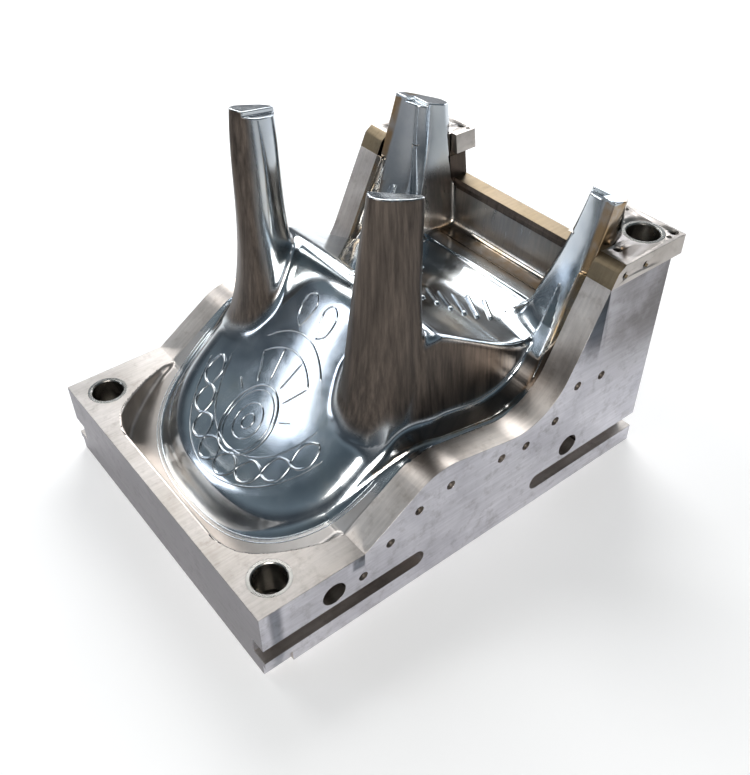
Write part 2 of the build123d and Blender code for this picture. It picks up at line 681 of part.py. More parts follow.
os.makedirs("parts", exist_ok=True)
for node, shape in build().items():
    export_step(shape, "parts/" + node + ".step")
    print(node, len(shape.solids()), round(shape.volume / 1000), "cm3")
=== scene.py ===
# %% [markdown]
# # Core half of an armchair mould
# The object is a steel block from which a plastic armchair's core has been milled, legs up. The
# machined flats and sides are plain geometry, but the chair itself is one flowing surface whose
# forms run into each other with fillets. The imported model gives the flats, sides, holes and loose
# parts. The flowing surface is made here as a field, which blends forms as a milling cutter does.

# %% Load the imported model
import bpy, bmesh, math
import numpy as np
from mathutils import Matrix, Vector


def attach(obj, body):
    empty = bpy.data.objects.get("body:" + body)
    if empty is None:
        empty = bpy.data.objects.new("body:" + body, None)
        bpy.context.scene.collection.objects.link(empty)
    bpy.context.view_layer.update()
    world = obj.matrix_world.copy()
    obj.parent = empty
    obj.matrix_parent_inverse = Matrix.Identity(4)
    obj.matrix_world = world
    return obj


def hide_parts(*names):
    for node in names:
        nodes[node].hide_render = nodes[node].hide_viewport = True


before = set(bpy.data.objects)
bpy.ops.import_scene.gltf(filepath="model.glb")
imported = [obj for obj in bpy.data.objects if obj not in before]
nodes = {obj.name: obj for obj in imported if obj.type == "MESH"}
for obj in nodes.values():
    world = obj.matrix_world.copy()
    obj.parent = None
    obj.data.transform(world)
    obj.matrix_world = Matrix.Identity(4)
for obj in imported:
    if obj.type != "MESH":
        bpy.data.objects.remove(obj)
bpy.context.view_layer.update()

# %% [markdown]
# ## Places on the block
# A toolmaker gives places from the block's low end and from its middle plane, in millimetres. A
# station runs along the block and a half width runs across it. Blender wants metres from the
# middle of the base, so two small helpers change one into the other.

# %% Stations to metres
LOW_END = -480.0   # mm from the object's origin to the block's low end


def to_scene(s, y, z):
    """Metres in the scene from a station, a place across and a height in mm."""
    return np.stack([np.asarray(s) + LOW_END, np.asarray(y), np.asarray(z)], axis=-1) / 1000


def to_station(place):
    """Station, half width and height in mm of a place in the scene."""
    return place.x * 1000 - LOW_END, abs(place.y * 1000), place.z * 1000


print("the block's low end lies at", to_scene(0, 0, 0), "m")

# %% [markdown]
# ## The camera
# The photograph was taken from above head height at the block's low corner. The camera's place
# and lens were found by fitting the block's straight edges, so the render's edges fall on the
# photograph's. A camera could also be aimed with a constraint, but a matrix built from its three
# directions holds the small roll as well.

# %% Camera
AZIMUTH, ELEVATION, ROLL = (math.radians(angle) for angle in (51.967, 41.084, -0.404))
CAMERA_PLACE = (-0.8464, -1.1314, 1.3778)   # m
FOCAL_LENGTH, PHOTO_WIDTH = 904.256, 750    # both in the photograph's pixels
SENSOR = 36.0                               # mm
camera_data = bpy.data.cameras.new("camera")
camera = bpy.data.objects.new("camera", camera_data)
bpy.context.collection.objects.link(camera)
forward = Vector((math.cos(ELEVATION) * math.cos(AZIMUTH), math.cos(ELEVATION) * math.sin(AZIMUTH),
                  -math.sin(ELEVATION)))
level = Vector((math.sin(AZIMUTH), -math.cos(AZIMUTH), 0))
upward = level.cross(forward)
right = math.cos(ROLL) * level + math.sin(ROLL) * upward
top = -math.sin(ROLL) * level + math.cos(ROLL) * upward
turn = Matrix((right, top, -forward)).transposed()
camera.matrix_world = Matrix.Translation(CAMERA_PLACE) @ turn.to_4x4()
camera_data.sensor_fit = "HORIZONTAL"
camera_data.sensor_width = SENSOR
camera_data.lens = FOCAL_LENGTH / PHOTO_WIDTH * SENSOR
camera_data.clip_end = 100
bpy.context.scene.camera = camera
print("lens", round(camera_data.lens, 2), "mm")

# %% [markdown]
# ## Lines of the block
# The parting surface rises in an S along both sides: a ramp, a rounded crest, a dip and a steep
# sweep up to the shoulders. It is straight runs joined by arcs, so its height at any station
# comes from a short list of points on those runs and arcs.

# %% Heights along the block
LENGTH = 930.0            # mm, as all sizes from here on
FLAT = 163.0              # height of the flat at the low end
RAMP_START = 213.0        # station where the flat turns into the ramp
CREST = (373.0, 265.4)    # station and height of each corner before it is rounded
DIP = (645.0, 206.9)
SWEEP_TOP = (765.0, 461.0)
CREST_RADIUS, DIP_RADIUS = 118, 125
RAMP_SLOPE = 0.64         # rise of the ramp for each mm along
LAND_SLOPE = 0.47         # and of the land that is sunk into the flat


def rounded_run(a, corner, b, radius, steps=24):
    """Points of an arc that rounds the corner between two straight runs."""
    a, corner, b = (np.array(p, float) for p in (a, corner, b))
    into, out = (corner - a) / np.linalg.norm(corner - a), (b - corner) / np.linalg.norm(b - corner)
    bend = math.acos(float(np.clip(into @ out, -1, 1)))
    reach = radius * math.tan(bend / 2)
    first, last = corner - into * reach, corner + out * reach
    ways = [(1 - t) * into + t * out for t in np.linspace(0, 1, steps)]
    points = [first]
    for way in ways[1:]:
        points.append(points[-1] + way / np.linalg.norm(way) * radius * bend / (steps - 1))
    shift = (last - points[-1]) / (steps - 1)
    return [p + shift * i for i, p in enumerate(points)]


parting_points = np.array(
    [(0, FLAT), (RAMP_START, FLAT)]
    + rounded_run((RAMP_START, FLAT), CREST, DIP, CREST_RADIUS)
    + rounded_run(CREST, DIP, SWEEP_TOP, DIP_RADIUS)
    + [SWEEP_TOP, (LENGTH, SWEEP_TOP[1])])


def parting_height(s):
    """Height of the surface on which the two halves of the mould meet."""
    return np.interp(s, parting_points[:, 0], parting_points[:, 1])


def land_height(s):
    """Height of the surface that the chair rises from."""
    return np.where(s < RAMP_START, FLAT - LAND_SLOPE * (RAMP_START - s), parting_height(s))


print("parting surface runs from", parting_height(0), "to", parting_height(800), "mm")

# %% [markdown]
# ## Blending forms
# Every form of the chair is a field: a number that is negative inside the steel and grows with
# the distance outside it. The smaller of two fields joins two forms, and the larger keeps what
# they share. Smooth versions of both round the edge by a radius, as a ball-nosed cutter does.
# Booleans and bevels on a mesh could do it too, but they fail where many fillets run together.

# %% Smooth joins
def join(a, b, radius):
    """The smaller of two fields, rounded where they are nearly equal."""
    h = np.maximum(radius - np.abs(a - b), 0) / radius
    return np.minimum(a, b) - h * h * radius / 4


def share(a, b, radius):
    """The larger of two fields, rounded where they are nearly equal."""
    return -join(-a, -b, radius)


def step(x, middle, width):
    """A soft step from 0 to 1 at a middle, over a few widths."""
    return 1 / (1 + np.exp(-np.clip((x - middle) / width, -40, 40)))


print("two walls at 0 and 2 mm join at", round(float(join(0.0, 2.0, 10)), 2), "mm with radius 10")

# %% [markdown]
# ## Back dome and seat
# The low dome moulds the backrest. Its rim is a squared oval, and it rises steeply from the rim
# before it flattens to its crown. Behind the rear posts it folds over a ridge into the seat,
# which falls towards the front legs. One height for every station and half width gives the whole
# top, and a second field gives the flank that drops from it.

# %% Dome and seat fields
SEAT_START, SEAT_END = 425.0, 826.0
RIDGE_ROUNDING = 88          # over which back and seat fold into each other
RIM_CENTRE = 330.0           # station where the rim is widest
RIM_LENGTH, RIM_WIDTH = 250.0, 265.0   # half axes of the rim's squared oval
RIM_POWER = 2.5              # 2 would be an ellipse, and more is squarer
RIM_SIZE = 235.0             # turns a share of the rim's reach into mm
FLANK_LEAN = 0.26            # how far the flank runs out for each mm down
WALL_PLACE, WALL_HEIGHT = 248.0, 262.0   # half width of the shut-off wall at a height
WALL_DRAFT, WALL_COSINE = 0.0612, 0.998  # of its 3.5 degrees of draft


def centre_height(s):
    """Height of the chair on the middle plane: the curved back, the falling seat, its front."""
    back = 138 + 0.526 * (s - 80) + 0.00151 * (s - 80) * (s - 213)
    seat = 452 - 0.60 * (s - 446)
    front = 316 - 0.03 * (s - 668)
    return join(back, share(seat, front, 30), RIDGE_ROUNDING)


def chair_top(s, v):
    """Height of the chair's top, which falls off to both sides."""
    on_seat = step(s, SEAT_START, 18)
    # The crown starts softly near s = 190, so that the reflections have no crease there.
    crown = 0.12 * (s - 190 + np.hypot(s - 190, 45))
    crown = crown + (9 - crown) * on_seat
    return centre_height(s) - crown * (v / RIM_WIDTH) ** 2


def slope_of(height, s, v):
    """How much longer the surface is than its plan, along both directions."""
    ds = (height(s + 1, v) - height(s - 1, v)) / 2
    dv = (height(s, v + 1) - height(s, v - 1)) / 2
    return np.sqrt(1 + ds * ds + dv * dv)


def rim_reach(s, v):
    """0 in the dome's middle, 1 on its rim."""
    # The rim is a little narrower where it passes the rear posts.
    width = RIM_WIDTH - 17 * step(s, 352, 9)
    along = np.maximum(RIM_CENTRE - s, 0) / RIM_LENGTH
    return (along**RIM_POWER + (v / width) ** RIM_POWER) ** (1 / RIM_POWER)


def outside_rim(s, v):
    """Distance outside the dome's rim."""
    return (rim_reach(s, v) - 1) * RIM_SIZE


def wall_face(v, z):
    """Distance outside the shut-off wall, which leans in by 3.5 degrees."""
    return (v - (WALL_PLACE - (z - WALL_HEIGHT) * WALL_DRAFT)) * WALL_COSINE


def back_and_seat_field(s, v, z):
    """The dome and the seat with their flanks."""
    above = (z - chair_top(s, v)) / slope_of(chair_top, s, v)
    low_land = FLAT - LAND_SLOPE * (RAMP_START - s)
    climb = FLAT + RAMP_SLOPE * (s - RAMP_START)
    foot = np.where(s < 300, share(low_land, climb, 14), parting_height(s))
    flank = outside_rim(s, v) + (z - foot) * FLANK_LEAN
    # Under the rear posts the dome's flank gives way to the shut-off wall.
    on_wall = step(s, SEAT_START, 7)
    beside = flank + (wall_face(v, z) - flank) * on_wall
    body = share(above, beside, 42 - 29 * on_wall)
    return share(body, s - SEAT_END, 3)


print("the dome is", round(float(chair_top(213.0, 0.0)), 1), "mm high at the medallion")

# %% [markdown]
# ### Trough between the shoulders
# In front of the seat lies a low land, and behind it a wall closes the trough across the block.
# On the real mould a ball-nosed cutter left a wide fillet between the two, which is why the
# trough is a field as well and not a box.

# %% Trough field
TROUGH_START, TROUGH_WIDTH = 800, 215   # station and half width
TROUGH_LAND, TROUGH_FILLET = 309.2, 22
LEDGE = 400                             # height at which the cross wall ends
CROSS_WALL, CROSS_FOOT = 879.4, 312     # station of the cross wall at a height
CROSS_DRAFT = 0.095                     # how far it leans back for each mm up


def trough_field(s, v, z):
    """The land in front of the seat and the wall across the trough, with a fillet between."""
    wall = np.maximum(CROSS_WALL + (z - CROSS_FOOT) * CROSS_DRAFT - s, z - LEDGE)
    ends = np.maximum(TROUGH_START - s, v - TROUGH_WIDTH)
    return np.maximum(join(z - TROUGH_LAND, wall, TROUGH_FILLET), ends)


print("the cross wall is", round(LEDGE - TROUGH_LAND, 1), "mm high")

# %% [markdown]
# ## Sunk land and armrest bands
# Round the dome's low half the steel is sunk to a sloping land, which moulds the backrest's rim.
# Its outline is a chain of straight runs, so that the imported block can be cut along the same
# lines. Outside each shut-off wall runs a polished band that moulds the armrest's edge. It
# follows the S of the parting surface a few millimetres proud and sinks below it as it climbs
# the sweep.

# %% Land and band fields
MARGIN = [(33, 0), (33, 160), (38, 190), (50, 218), (68, 238), (94, 257), (134, 278), (177, 294),
          (225, 302)]
MARGIN_LIP = 4.0          # of flat that belongs to the flowing surface
BAND_WIDTH = 302          # half width of the block's faces beside the band
# Half width of the band's outer edge, and its rise over the parting surface, by station.
BAND_EDGE = ([213, 262, 300, 350, 430, 600, 672, 742, 900],
             [250, 262, 272, 286, 302, 302, 291, 279, 277])
BAND_RISE = ([230, 300, 600, 655, 690, 730, 900], [0, 6, 6, 0, -12, -45, -60])


def margin_runs():
    """Start and outward direction of each straight run of the land's outline."""
    runs = []
    for (s0, v0), (s1, v1) in zip(MARGIN, MARGIN[1:]):
        length = math.hypot(s1 - s0, v1 - v0)
        runs.append((s0, v0, -(v1 - v0) / length, (s1 - s0) / length))
    return runs


def outside_margin(s, v):
    """Distance outside the land's outline, negative over the land."""
    return np.max([(s - s0) * ns + (v - v0) * nv for s0, v0, ns, nv in margin_runs()], axis=0)


def land_field(s, v, z):
    """The sunk land, the wall round it and a narrow lip of the flat."""
    # The land slopes, so a height above it is 0.905 as far from it.
    wall = join(-outside_margin(s, v), (z - land_height(s)) * 0.905, 14)
    return share(share(z - (FLAT - 0.1), wall, 5), s - (RAMP_START + 9), 2)


def band_edge(s):
    """Half width of the outer edge of the armrest's band."""
    return np.interp(s, *BAND_EDGE)


def band_height(s, v):
    """Height of the band's top, or of the parting surface beside it."""
    inside = step(band_edge(s) - v, 0, 1.6)
    # Outside the band the surface is the parting surface, which the block's own face carries on.
    return land_height(s) + inside * np.interp(s, *BAND_RISE) - 0.3 * step(v, BAND_WIDTH + 0.5, 0.5)


def band_field(s, v, z):
    """The armrest's band, from the shut-off wall out to the block's own face."""
    above = (z - band_height(s, v)) / slope_of(band_height, s, v)
    # On the sweep the inner side moves out, because the seat's own flank reaches further there.
    inner = np.interp(s, [600, 670], [100, 240])
    return share(above, np.maximum(205 - s, inner - v), 3)


print("the band's edge lies", band_edge(500), "mm from the middle plane under the armrest")

# %% [markdown]
# ## Leg posts
# Each post is given by its section at a few heights. The section's corners move along smooth
# curves from height to height, and a post's field is the largest distance outside its sides,
# rounded where two sides meet. All four tops lie in one tilted plane: the floor on which the
# finished chair stands.

# %% Post sections
REAR_SECTIONS = [
    (265, [(302, 205), (314, 238), (368, 247), (455, 247), (495, 222), (505, 170), (450, 110),
           (350, 105), (310, 150)]),
    (395, [(328, 175), (342, 215), (388, 239), (438, 239), (458, 222), (458, 180), (435, 140),
           (370, 125), (338, 140)]),
    (500, [(335, 179), (350, 212), (392, 233), (434, 233), (452, 215), (449, 180), (425, 150),
           (380, 138), (348, 150)]),
    (600, [(342, 185), (358, 212), (400, 227), (436, 227), (455, 212), (446, 185), (422, 162),
           (385, 152), (354, 162)]),
    (730, [(356, 199), (373, 215), (405, 219), (438, 219), (457, 214), (440, 194), (417, 179),
           (392, 168), (368, 176)]),
]
FRONT_SECTIONS = [
    (280, [(696, 300), (702, 274), (704, 226), (716, 196), (742, 171), (884, 169), (900, 215),
           (900, 250), (872, 288), (800, 303)]),
    (400, [(740, 301), (751, 275), (757, 232), (768, 209), (794, 187), (884, 186), (900, 215),
           (906, 250), (872, 288), (800, 303)]),
    (461, [(764, 301), (773, 275), (778, 236), (790, 216), (815, 199), (888, 197), (900, 215),
           (910, 250), (872, 287), (812, 303)]),
    (502, [(779, 301), (788, 276), (790, 238), (803, 224), (830, 210), (880, 206), (905, 222),
           (912, 250), (872, 284), (831, 302)]),
    (610, [(817, 300), (821, 272), (823, 246), (832, 235), (852, 225), (882, 222), (901, 240),
           (894, 262), (868, 290), (845, 302)]),
]
print("sections:", len(REAR_SECTIONS), "for a rear post,", len(FRONT_SECTIONS), "for a front post")

# %% Post fields
REAR_ROUNDING, FRONT_ROUNDING = 4.0, 1.8
FEET_HEIGHT, FEET_STATION = 706, 400     # the plane of the feet has this height at this station
FEET_FALL, FEET_COSINE = 0.277, 0.9637   # its fall for each mm along, and the slope's cosine
FAR = 99.0   # a field's value where a form is too far away to matter


def feet_plane(s, z, drop=0.0):
    """Distance above the plane of the chair's feet, lowered by drop."""
    return (z - (FEET_HEIGHT - drop - FEET_FALL * (s - FEET_STATION))) * FEET_COSINE


def section_field(sections, s, v, z, rounding):
    """Distance outside a post's sides, from its sections."""
    heights = [level for level, _ in sections]
    corners = np.array([points for _, points in sections], float)
    count = corners.shape[1]
    # A cubic through the sections' heights keeps the post's sides free of kinks. The heights are
    # taken from 400 mm and in steps of 100 mm, which keeps the numbers of the fit small.
    rise = (np.maximum(z, heights[0]) - 400) / 100
    fit = np.polyfit((np.array(heights) - 400) / 100, corners.reshape(len(heights), -1), 3)
    at_s = [np.polyval(fit[:, 2 * i], rise) for i in range(count)]
    at_v = [np.polyval(fit[:, 2 * i + 1], rise) for i in range(count)]
    # The corners may run either way round, and the sign of their area says which.
    first = corners[0]
    area = np.sum(first[:, 0] * np.roll(first[:, 1], -1) - first[:, 1] * np.roll(first[:, 0], -1))
    way = 1.0 if area > 0 else -1.0
    total = np.zeros_like(z)
    for i in range(count):
        j = (i + 1) % count
        along_s, along_v = at_s[j] - at_s[i], at_v[j] - at_v[i]
        length = np.sqrt(along_s**2 + along_v**2) + 1e-6
        side = way * (along_v * (s - at_s[i]) - along_s * (v - at_v[i])) / length
        total += np.exp(np.clip(side / rounding, -60, 60))
    return rounding * np.log(total + 1e-30)


def rear_sides(s, v, z):
    """Distance outside a rear post's sides."""
    return section_field(REAR_SECTIONS, s, v, z, REAR_ROUNDING)


def front_sides(s, v, z):
    """Distance outside a front post's sides."""
    return section_field(FRONT_SECTIONS, s, v, z, FRONT_ROUNDING)


def rear_post_field(s, v, z):
    """A rear post with its foot's slanting end."""
    # The inner part of each top is a step lower than the rest.
    top_face = join(feet_plane(s, z, 9.0), 190 - v + 0.35 * (s - 410), 3)
    return share(share(rear_sides(s, v, z), feet_plane(s, z), 2.5), top_face, 2.5)


def front_post_field(s, v, z):
    """A front post with its foot's slanting end."""
    top_face = join(feet_plane(s, z, 8.0), np.minimum(268 - v, 840 - s), 3)
    return share(share(front_sides(s, v, z), feet_plane(s, z), 2.5), top_face, 2.5)


def only_near(near, field, s, v, z):
    """A field that is worked out only in a part of the space, which saves most of the time."""
    values = np.full(s.shape, FAR)
    values[near] = field(s[near], v[near], z[near])
    return values


probe = [np.array([value]) for value in (400.0, 200.0, 600.0)]
print("in a rear post's middle the field says", rear_post_field(*probe).round(1))

# %% [markdown]
# ## The whole chair
# All forms now flow together. The order matters, because each join has its own fillet: narrow
# round the land and the bands, wide where a leg grows out of the chair.

# %% Chair field
def chair_field(s, v, z):
    """The whole flowing surface of the chair: negative in the steel."""
    seat = back_and_seat_field(s, v, z)
    ground = np.minimum(land_field(s, v, z), band_field(s, v, z))
    field = join(seat, ground, 10)
    rear = only_near((s > 280) & (s < 530) & (v > 80), rear_post_field, s, v, z)
    field = join(field, rear, 20)
    front = only_near((s > 670) & (v > 150), front_post_field, s, v, z)
    # A wide fillet runs from the seat into the front posts, and none from their bands.
    field = np.minimum(field, join(seat, front, 6 + 38 * step(800 - s, 0, 12)))
    return join(field, trough_field(s, v, z), 14)


probe = [np.array([value]) for value in (213.0, 0.0, 190.0)]
print("18 mm under the medallion the field says", chair_field(*probe).round(1))

# %% [markdown]
# ## From field to mesh
# The field is sampled on a grid of small cubes. Where it changes sign inside a cube, the surface
# passes, and a vertex goes there. Quads join the vertices of neighbouring cubes. A remesh
# modifier works much the same way, but only on a mesh that exists already.

# %% Sample the field
def sample_field(low, high, cell):
    """The field on a grid; a box that is the same on both sides is only worked out on one."""
    axes = [np.arange(a, b + cell / 2, cell, dtype=np.float32) for a, b in zip(low, high)]
    mirrored = low[1] == -high[1]
    across = axes[1][axes[1] >= 0] if mirrored else axes[1]
    s, y, z = np.meshgrid(axes[0], across, axes[2], indexing="ij")
    values = chair_field(s, np.abs(y), z)
    return np.concatenate([values[:, :0:-1], values], axis=1) if mirrored else values


PATCH = (200.0, -8.0, 190.0), (216.0, 8.0, 222.0)   # a small box across the dome's top
sample = sample_field(*PATCH, 4.0)
print("in a patch of the dome", (sample < 0).sum(), "of", sample.size, "samples are in the steel")


# %% Lay a net on the samples
def net_vertices(values, low, cell):
    """One vertex in each cube that the surface passes, and the vertex's number by cube."""
    inside = values < 0
    shape = np.array(values.shape) - 1
    offsets = [(i, j, k) for i in (0, 1) for j in (0, 1) for k in (0, 1)]
    cut = [inside[i:i + shape[0], j:j + shape[1], k:k + shape[2]] for i, j, k in offsets]
    mixed = np.any(cut, axis=0) & ~np.all(cut, axis=0)
    cells = np.argwhere(mixed)
    number = np.full(shape, -1)
    number[mixed] = np.arange(len(cells))
    corner_values = [values[tuple((cells + o).T)] for o in offsets]
    total, count = np.zeros((len(cells), 3)), np.zeros(len(cells))
    # The vertex lies in the middle of the places where the surface crosses the cube's edges.
    for a, start in enumerate(offsets):
        for b, end in enumerate(offsets):
            if b <= a or sum(abs(p - q) for p, q in zip(start, end)) != 1:
                continue
            fa, fb = corner_values[a], corner_values[b]
            crossed = (fa < 0) != (fb < 0)
            t = np.where(crossed, fa / np.where(crossed, fa - fb, 1), 0)[:, None]
            place = np.array(start) + t * (np.array(end) - np.array(start))
            total += np.where(crossed[:, None], place, 0)
            count += crossed
    return (cells + total / count[:, None]) * cell + np.array(low), number


def net_quads(values, number):
    """A quad round each grid edge that the surface crosses."""
    inside = values < 0
    shape = number.shape
    quads = []
    for axis in range(3):
        others = [a for a in range(3) if a != axis]
        spots = np.argwhere(inside != np.roll(inside, -1, axis))
        spots = spots[spots[:, axis] < shape[axis]]
        for a in others:
            spots = spots[(spots[:, a] > 0) & (spots[:, a] < shape[a])]
        ring = []
        for da, db in ((-1, -1), (0, -1), (0, 0), (-1, 0)):
            move = np.zeros(3, int)
            move[others[0]], move[others[1]] = da, db
            ring.append(number[tuple((spots + move).T)])
        ring = np.stack(ring, axis=1)
        # Every quad has to face out of the steel.
        flip = inside[tuple(spots.T)] != (axis == 1)
        ring[~flip] = ring[~flip][:, ::-1]
        quads.append(ring)
    return np.concatenate(quads)


points, number = net_vertices(sample, PATCH[0], 4.0)
print("the patch has", len(points), "vertices and", len(net_quads(sample, number)), "quads")

# %% [markdown]
# Each vertex is then moved along the field's slope until the field is zero, and takes that slope
# as its normal, so that the polished steel mirrors the room without the grid's steps. Smoothing
# the mesh instead would also melt the edges that the real cutter left crisp.

# %% Move the net onto the surface
FEELER = 0.6   # how far to both sides of a point the slope is felt


def field_slope(points):
    """The field and its slope at points given as station, place across and height."""
    def at(p):
        return chair_field(p[:, 0], np.abs(p[:, 1]), p[:, 2])
    value = at(points)
    slope = np.zeros_like(points)
    for axis in range(3):
        shift = np.zeros(3)
        shift[axis] = FEELER
        slope[:, axis] = (at(points + shift) - at(points - shift)) / (2 * FEELER)
    return value, slope


def flowing_surface(low, high, cell):
    """Points, normals and quads of the chair's surface in a box."""
    values = sample_field(low, high, cell)
    points, number = net_vertices(values, low, cell)
    for _ in range(3):
        value, slope = field_slope(points)
        size = (slope**2).sum(axis=1) + 1e-6
        points -= np.clip(slope * (value / size)[:, None], -cell / 2, cell / 2)
    _, slope = field_slope(points)
    normals = slope / (np.linalg.norm(slope, axis=1, keepdims=True) + 1e-9)
    return points, normals, net_quads(values, number)


points, normals, quads = flowing_surface(*PATCH, 4.0)
left_over, _ = field_slope(points)
print("the patch lies within", round(float(np.abs(left_over).max()), 4), "mm of the surface")

# %% [markdown]
# Only what shows of that surface is kept. The part below the block's own faces goes, and so do
# the box's outer walls. The tips of the posts have small steps, so they get a finer grid.

# %% Build the surface
REAR_TIP, FRONT_TIP = 560.0, 508.0   # heights at which the finer grids of the tips take over
BODY_CELL, TIP_CELL = 4.0, 2.0
TIPS = (("rear_post_tip", (334, 148, 552), (474, 236, 732), REAR_TIP),
        ("front_post_tip", (772, 200, 500), (920, 308, 608), FRONT_TIP))


def keep(points, normals, quads, hidden):
    """The surface without the quads that touch a hidden vertex."""
    quads = quads[~hidden[quads].any(axis=1)]
    used = np.unique(quads)
    renumber = np.full(len(points), -1)
    renumber[used] = np.arange(len(used))
    return points[used], normals[used], renumber[quads]


def hidden_in_block(points):
    """Whether a vertex lies where the block's own faces or a finer tip show instead."""
    s, y, z = points.T
    v = np.abs(y)
    # Every limit lies a few mm inside the block, so that the two overlap out of sight.
    under_land = z < np.where(s < 640, land_height(s) - 12, 190)
    under_trough = (s > 700) & (v < 203) & (z < 303)
    under_plates = (s > 836) & (v > 214) & (z < 452)
    past_wall = (s > 893) | ((s > 820) & (v < 180) & (z > 398))
    past_strip = (s > 780) & (v > 304)
    past_land = outside_margin(s, v) > MARGIN_LIP + 3
    past_sides = np.where(s < RAMP_START, past_land, v > BAND_WIDTH + 5) | (s < 21)
    in_tip = z > np.where(s < 640, REAR_TIP + 4, FRONT_TIP + 4)
    return under_land | under_trough | under_plates | past_wall | past_strip | past_sides | in_tip


points, normals, quads = flowing_surface((20.0, -316.0, 60.0), (924.0, 316.0, 584.0), BODY_CELL)
surfaces = [("chair_surface", *keep(points, normals, quads, hidden_in_block(points)))]
for name, low, high, cut in TIPS:
    for side, label in ((1, "far"), (-1, "near")):
        ends = sorted((side * low[1], side * high[1]))
        box = (low[0], float(ends[0]), low[2]), (high[0], float(ends[1]), high[2])
        points, normals, quads = flowing_surface(*box, TIP_CELL)
        surfaces.append((f"{name}_{label}", *keep(points, normals, quads, points[:, 2] < cut)))
for name, points, normals, quads in surfaces:
    print(name, len(points), "vertices,", len(quads), "quads")

# %% [markdown]
# ## The block round the chair
# The block's flats, sides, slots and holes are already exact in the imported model. They are copied
# without the faces that the flowing surface takes over, so that the two meet along clean lines.
# A boolean would do the same cut, but planes keep the flat faces whole and quick to check.

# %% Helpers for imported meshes
SHARP = math.radians(28)   # faces that meet at more than this show an edge


def packed_form(node):
    """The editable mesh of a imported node, in the scene's place."""
    form = bmesh.new()
    form.from_mesh(node.data)
    form.transform(node.matrix_world)
    return form


def split_along(form, planes):
    """Splits faces along planes, each given by a place on it and its direction."""
    for place, way in planes:
        bmesh.ops.bisect_plane(form, geom=form.verts[:] + form.edges[:] + form.faces[:],
                               plane_co=place, plane_no=way)


def finished_copy(form, name):
    """A new object from an edited mesh, smooth but for its sharp edges."""
    mesh = bpy.data.meshes.new(name)
    form.to_mesh(mesh)
    form.free()
    mesh.polygons.foreach_set("use_smooth", [True] * len(mesh.polygons))
    mesh.set_sharp_from_angle(angle=SHARP)
    piece = bpy.data.objects.new(name, mesh)
    bpy.context.collection.objects.link(piece)
    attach(piece, "root")
    return piece


print("the packed block has", len(nodes["core_block"].data.polygons), "faces")

# %% Block faces
WALL_START, WALL_END = 860, 884   # stations between which the cross wall stands


def under_chair(face):
    """Whether the flowing surface takes the place of a face of the block."""
    s, v, z = to_station(face.calc_center_median())
    # Only the posts reach above the shoulders.
    if z > SWEEP_TOP[1] + 2:
        return True
    # At the low end it is the sunk land and its lip, but not the clamp slots under them.
    if s < RAMP_START:
        return bool(z > 62 and outside_margin(np.float64(s), np.float64(v)) < MARGIN_LIP)
    cross_wall = s > WALL_START and abs(face.normal.y) < 0.5 and v < 200 and z > CROSS_FOOT
    return s < WALL_END and v < BAND_WIDTH and z > 150 and not cross_wall


form = packed_form(nodes["core_block"])
planes = [((0, side * BAND_WIDTH / 1000, 0), (0, 1, 0)) for side in (-1, 1)]
planes += [(to_scene(station, 0, 0), (1, 0, 0)) for station in (RAMP_START, SWEEP_TOP[0], WALL_END)]
for s0, v0, ns, nv in margin_runs():
    start = (s0 + ns * MARGIN_LIP, v0 + nv * MARGIN_LIP)
    planes += [(to_scene(start[0], side * start[1], 0), (ns, side * nv, 0)) for side in (-1, 1)]
split_along(form, planes)
taken = [face for face in form.faces if under_chair(face)]
bmesh.ops.delete(form, geom=taken, context="FACES")
block = finished_copy(form, "block_faces")
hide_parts("core_block")
print("block faces:", len(block.data.polygons))

# %% [markdown]
# ## Ornament on the back and seat
# The mould's relief was engraved on the steel with a small ball cutter. Each line is a narrow
# rounded ribbon laid on the flowing surface, so it is only worked out in plan and then dropped on
# the steel. A displacement map could do it too, but it would need a very fine mesh everywhere.

# %% Pieces and places on the surface
def piece_from(name, vertices, faces):
    """A new smooth object from vertices in block millimetres, riding on the part."""
    mesh = bpy.data.meshes.new(name)
    mesh.from_pydata(to_scene(*np.asarray(vertices).T).tolist(), [], np.asarray(faces).tolist())
    mesh.update()
    piece = bpy.data.objects.new(name, mesh)
    bpy.context.collection.objects.link(piece)
    mesh.polygons.foreach_set("use_smooth", [True] * len(mesh.polygons))
    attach(piece, "root")
    return piece


def drop(s, y):
    """Height of the chair's surface under a place in plan."""
    v = np.abs(y)
    # From 40 mm above the chair's top to 120 mm below it, halved until the surface is found.
    high = chair_top(s, v) + 40.0
    low = high - 160.0
    for _ in range(22):
        middle = (high + low) / 2
        inside = chair_field(s, v, middle) < 0
        low = np.where(inside, middle, low)
        high = np.where(inside, high, middle)
    return low


top_height = drop(np.array([213.0]), np.array([0.0]))[0]
print("at the medallion the surface is", round(float(top_height), 1), "mm high")

# %% Ribbons on the surface
PROFILE = [(-0.5, -0.6), (-0.46, 0.35), (-0.3, 0.85), (0, 1.0), (0.3, 0.85), (0.46, 0.35),
           (0.5, -0.6)]   # across a ribbon, in shares of its width and rise


